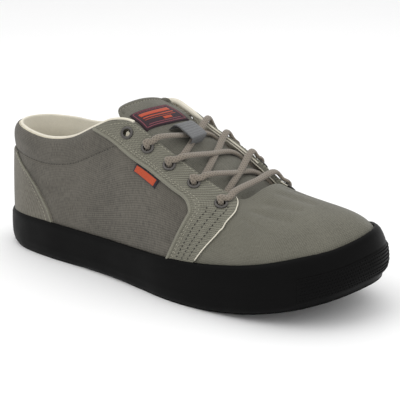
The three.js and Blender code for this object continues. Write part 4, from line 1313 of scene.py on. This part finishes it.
def make_lace(finish):
    """One continuous lace: the bar across the front pair and two halves that criss-cross upwards."""
    lateral, medial = (half_lace(side) for side in SIDES)
    rows = lateral[::-1] + [arch(lateral[0], medial[0])] + medial
    points = np.array([row[0] for row in rows])
    ups = np.array([row[1] for row in rows])
    sizes = np.array([row[2:] for row in rows])
    for k in range(1, len(ups)):
        if ups[k] @ ups[k - 1] < -0.2:
            ups[k] = -ups[k]
    path, place = resample(points, 1.1)
    counted = np.arange(len(rows))
    turned = np.stack([np.interp(place, counted, ups[:, k]) for k in range(3)], -1)
    lace = bpy.context.scene.sneaker_sizes
    widths = np.interp(place, counted, sizes[:, 0]) * lace.lace_width * 1000 / DRAWN_WIDTH
    depths = np.interp(place, counted, sizes[:, 1]) * lace.lace_thickness * 1000 / DRAWN_DEPTH
    names = ["lace_bar", "lace_cross_low", "lace_cross_mid", "lace_cross_top"]
    bm = tubes((path, turned, widths, depths, 16, 2.2))
    mesh_object("lace", bm, "lace_cotton", names, finish["lace"])


def make_stage():
    """The floor, soft studio lights, a pale world and the photograph's camera."""
    scene = bpy.context.scene
    bm = bmesh.new()
    bmesh.ops.create_grid(bm, x_segments=4, y_segments=4, size=6.0)
    floor = link_mesh("floor", bm)
    material, tree = new_material("pale_floor")
    coords = add_node(tree, "ShaderNodeTexCoord").outputs["Object"]
    cloud = noise(tree, coords, 3.0)
    tint = blend_colours(tree, cloud, (0.95, 0.95, 0.95, 1), (0.97, 0.97, 0.97, 1))
    finish_material(tree, tint, 0.9, cloud, 0.0)
    floor.data.materials.append(material)
    world = bpy.data.worlds.new("studio")
    world.use_nodes = True
    background = world.node_tree.nodes["Background"].inputs
    background[0].default_value = (1.0, 1.0, 1.0, 1)
    background[1].default_value = 0.95
    scene.world = world
    lights = (
        ("key", (-0.35, -0.75, 1.1), 0.9, 3.0),
        ("fill", (0.9, -0.6, 0.9), 1.0, 1.0),
        ("top", (0.0, 0.3, 1.3), 1.2, 3.0),
    )
    for name, place, size, power in lights:
        lamp = bpy.data.lights.new(name, "AREA")
        lamp.size = size
        lamp.energy = power
        body = bpy.data.objects.new(name, lamp)
        body.location = place
        body.rotation_euler = (Vector((0, 0, 0.04)) - Vector(place)).to_track_quat("-Z", "Y").to_euler()
        scene.collection.objects.link(body)
    azimuth, elevation = math.radians(CAMERA_AZIMUTH), math.radians(CAMERA_ELEVATION)
    back = Vector((math.sin(azimuth) * math.cos(elevation), -math.cos(azimuth) * math.cos(elevation),
                   math.sin(elevation)))
    lens = bpy.data.cameras.new("camera")
    lens.lens = 86.9
    lens.sensor_width = 36.0
    lens.shift_x = 0.0545
    lens.shift_y = -0.0055
    camera = bpy.data.objects.new("camera", lens)
    camera.location = Vector(to_row(CAMERA_AIM)) + back * CAMERA_DISTANCE
    camera.rotation_euler = (back.to_track_quat("Z", "Y").to_matrix().to_4x4()
                             @ Matrix.Rotation(math.radians(CAMERA_ROLL), 4, "Z")).to_euler()
    scene.collection.objects.link(camera)
    scene.camera = camera
    scene.view_settings.view_transform = "Standard"


FINISH = {}


def colour_property(label, code):
    return bpy.props.FloatVectorProperty(
        name=label, description=f"Colour of the {label.lower()}", subtype="COLOR", size=3,
        min=0.0, max=1.0, default=linear(code))


def length_property(label, metres):
    return bpy.props.FloatProperty(
        name=label, description=f"The {label.lower()} in metres", default=metres, min=0.00005,
        precision=5, unit="LENGTH", subtype="DISTANCE")


class SneakerColours(bpy.types.PropertyGroup):
    """The shoe's colours"""

    quarter: colour_property("Quarter canvas", "#66625a")
    vamp: colour_property("Vamp canvas", "#716f64")
    counter: colour_property("Counter canvas", "#716d63")
    eyestay: colour_property("Eyestay canvas", "#7f7d70")
    # Lighter than the eyestay and counter canvas: a painted highlight on the raised folded edges
    edge: colour_property("Folded edges", "#828073")
    tongue: colour_property("Tongue canvas", "#6f6d63")
    lining: colour_property("Lining", "#e6e0cf")
    cover: colour_property("Insole cover", "#c4bda9")
    foxing: colour_property("Foxing rubber", "#050505")
    outsole: colour_property("Outsole rubber", "#080808")
    lace: colour_property("Lace", "#8b8174")
    metal: colour_property("Eyelet metal", "#4a4846")
    light_thread: colour_property("Light thread", "#a8a494")
    dark_thread: colour_property("Dark thread", "#2c2924")
    label: colour_property("Label ground", "#3a2a31")
    label_line: colour_property("Label lines", "#8e4450")
    label_bar: colour_property("Label bars", "#bc4826")
    tag: colour_property("Side tag", "#b64f33")
    tag_border: colour_property("Side tag border", "#241f28")
    webbing: colour_property("Keeper webbing", "#757677")
    foam: colour_property("Midsole foam", "#c8bfa6")


class SneakerSizes(bpy.types.PropertyGroup):
    """The sizes of the shoe's cloth, sewing, lace and tread"""

    thread_pitch: length_property("Thread pitch", 0.001)
    rib_pitch: length_property("Rib pitch", 0.00105)
    stitch_pitch: length_property("Stitch pitch", 0.0026)
    stitch_length: length_property("Stitch length", 0.0017)
    lace_width: length_property("Lace width", 0.0044)
    lace_thickness: length_property("Lace thickness", 0.0026)
    diamond_pitch: length_property("Diamond pitch", 0.0019)
    tread_pitch: length_property("Tread pitch", 0.006)
    tread_depth: length_property("Tread depth", 0.0009)


def ready_finish():
    """The finishes, which have to be made first."""
    if not FINISH:
        raise RuntimeError("make the finishes before any piece")
    return FINISH


class SNEAKER_OT_finishes(bpy.types.Operator):
    """Make the canvas, rubber, metal and thread finishes"""

    bl_idname = "sneaker.finishes"
    bl_label = "Finishes"

    def execute(self, context):
        FINISH.update(make_materials(context.scene.sneaker_colours, context.scene.sneaker_sizes))
        return {"FINISHED"}


class SNEAKER_OT_sole(bpy.types.Operator):
    """Make the outsole, insole, foxing and toe strip, and give the midsole its foam finish"""

    bl_idname = "sneaker.sole"
    bl_label = "Sole"

    def execute(self, context):
        finish = ready_finish()
        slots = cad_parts["midsole"].data.materials
        slots.clear()
        slots.append(finish["foam"])
        make_outsole(finish)
        make_insole(finish)
        make_foxing(finish)
        make_toe_strip(finish)
        return {"FINISHED"}


class SNEAKER_OT_upper(bpy.types.Operator):
    """Make the canvas upper with its lining"""

    bl_idname = "sneaker.upper"
    bl_label = "Upper"

    def execute(self, context):
        make_upper(ready_finish())
        return {"FINISHED"}


class SNEAKER_OT_overlays(bpy.types.Operator):
    """Make the eyestays, heel counter and side tag with their stitches"""

    bl_idname = "sneaker.overlays"
    bl_label = "Overlays"

    def execute(self, context):
        finish = ready_finish()
        for side in SIDES:
            make_eyestay(finish, side)
        make_counter(finish)
        make_tag(finish)
        return {"FINISHED"}


class SNEAKER_OT_collar(bpy.types.Operator):
    """Make the padded collar lining and the piping of the throat"""

    bl_idname = "sneaker.collar"
    bl_label = "Collar"

    def execute(self, context):
        make_collar(ready_finish())
        return {"FINISHED"}


class SNEAKER_OT_tongue(bpy.types.Operator):
    """Make the padded tongue, its label and its keeper"""

    bl_idname = "sneaker.tongue"
    bl_label = "Tongue"

    def execute(self, context):
        finish = ready_finish()
        make_tongue(finish)
        make_label(finish)
        make_keeper(finish)
        return {"FINISHED"}


class SNEAKER_OT_lacing(bpy.types.Operator):
    """Make the eyelets and the lace that runs through them"""

    bl_idname = "sneaker.lacing"
    bl_label = "Eyelets and lace"

    def execute(self, context):
        finish = ready_finish()
        make_eyelets(finish)
        make_lace(finish)
        return {"FINISHED"}


class SNEAKER_OT_stage(bpy.types.Operator):
    """Make the floor, lights, world and camera"""

    bl_idname = "sneaker.stage"
    bl_label = "Stage"

    def execute(self, context):
        make_stage()
        return {"FINISHED"}


OPERATORS = (
    SNEAKER_OT_finishes,
    SNEAKER_OT_sole,
    SNEAKER_OT_upper,
    SNEAKER_OT_overlays,
    SNEAKER_OT_collar,
    SNEAKER_OT_tongue,
    SNEAKER_OT_lacing,
    SNEAKER_OT_stage,
)


class SNEAKER_PT_panel(bpy.types.Panel):
    """The sidebar's list of the shoe's pieces, sizes and colours"""

    bl_idname = "SNEAKER_PT_panel"
    bl_label = "Sneaker"
    bl_space_type = "VIEW_3D"
    bl_region_type = "UI"
    bl_category = "Sneaker"

    def draw(self, context):
        for operator in OPERATORS:
            self.layout.operator(operator.bl_idname)
        for group in (context.scene.sneaker_sizes, context.scene.sneaker_colours):
            for name in group.__annotations__:
                self.layout.prop(group, name)


CLASSES = (SneakerColours, SneakerSizes, *OPERATORS, SNEAKER_PT_panel)


def register():
    for entry in CLASSES:
        bpy.utils.register_class(entry)
    bpy.types.Scene.sneaker_colours = bpy.props.PointerProperty(type=SneakerColours)
    bpy.types.Scene.sneaker_sizes = bpy.props.PointerProperty(type=SneakerSizes)


def unregister():
    del bpy.types.Scene.sneaker_sizes
    del bpy.types.Scene.sneaker_colours
    for entry in reversed(CLASSES):
        bpy.utils.unregister_class(entry)


def main():
    """Makes every piece and the stage."""
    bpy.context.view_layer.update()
    register()
    bpy.ops.sneaker.finishes()
    bpy.ops.sneaker.sole()
    bpy.ops.sneaker.upper()
    bpy.ops.sneaker.overlays()
    bpy.ops.sneaker.collar()
    bpy.ops.sneaker.tongue()
    bpy.ops.sneaker.lacing()
    bpy.ops.sneaker.stage()


if __name__ == "__main__":
    main()
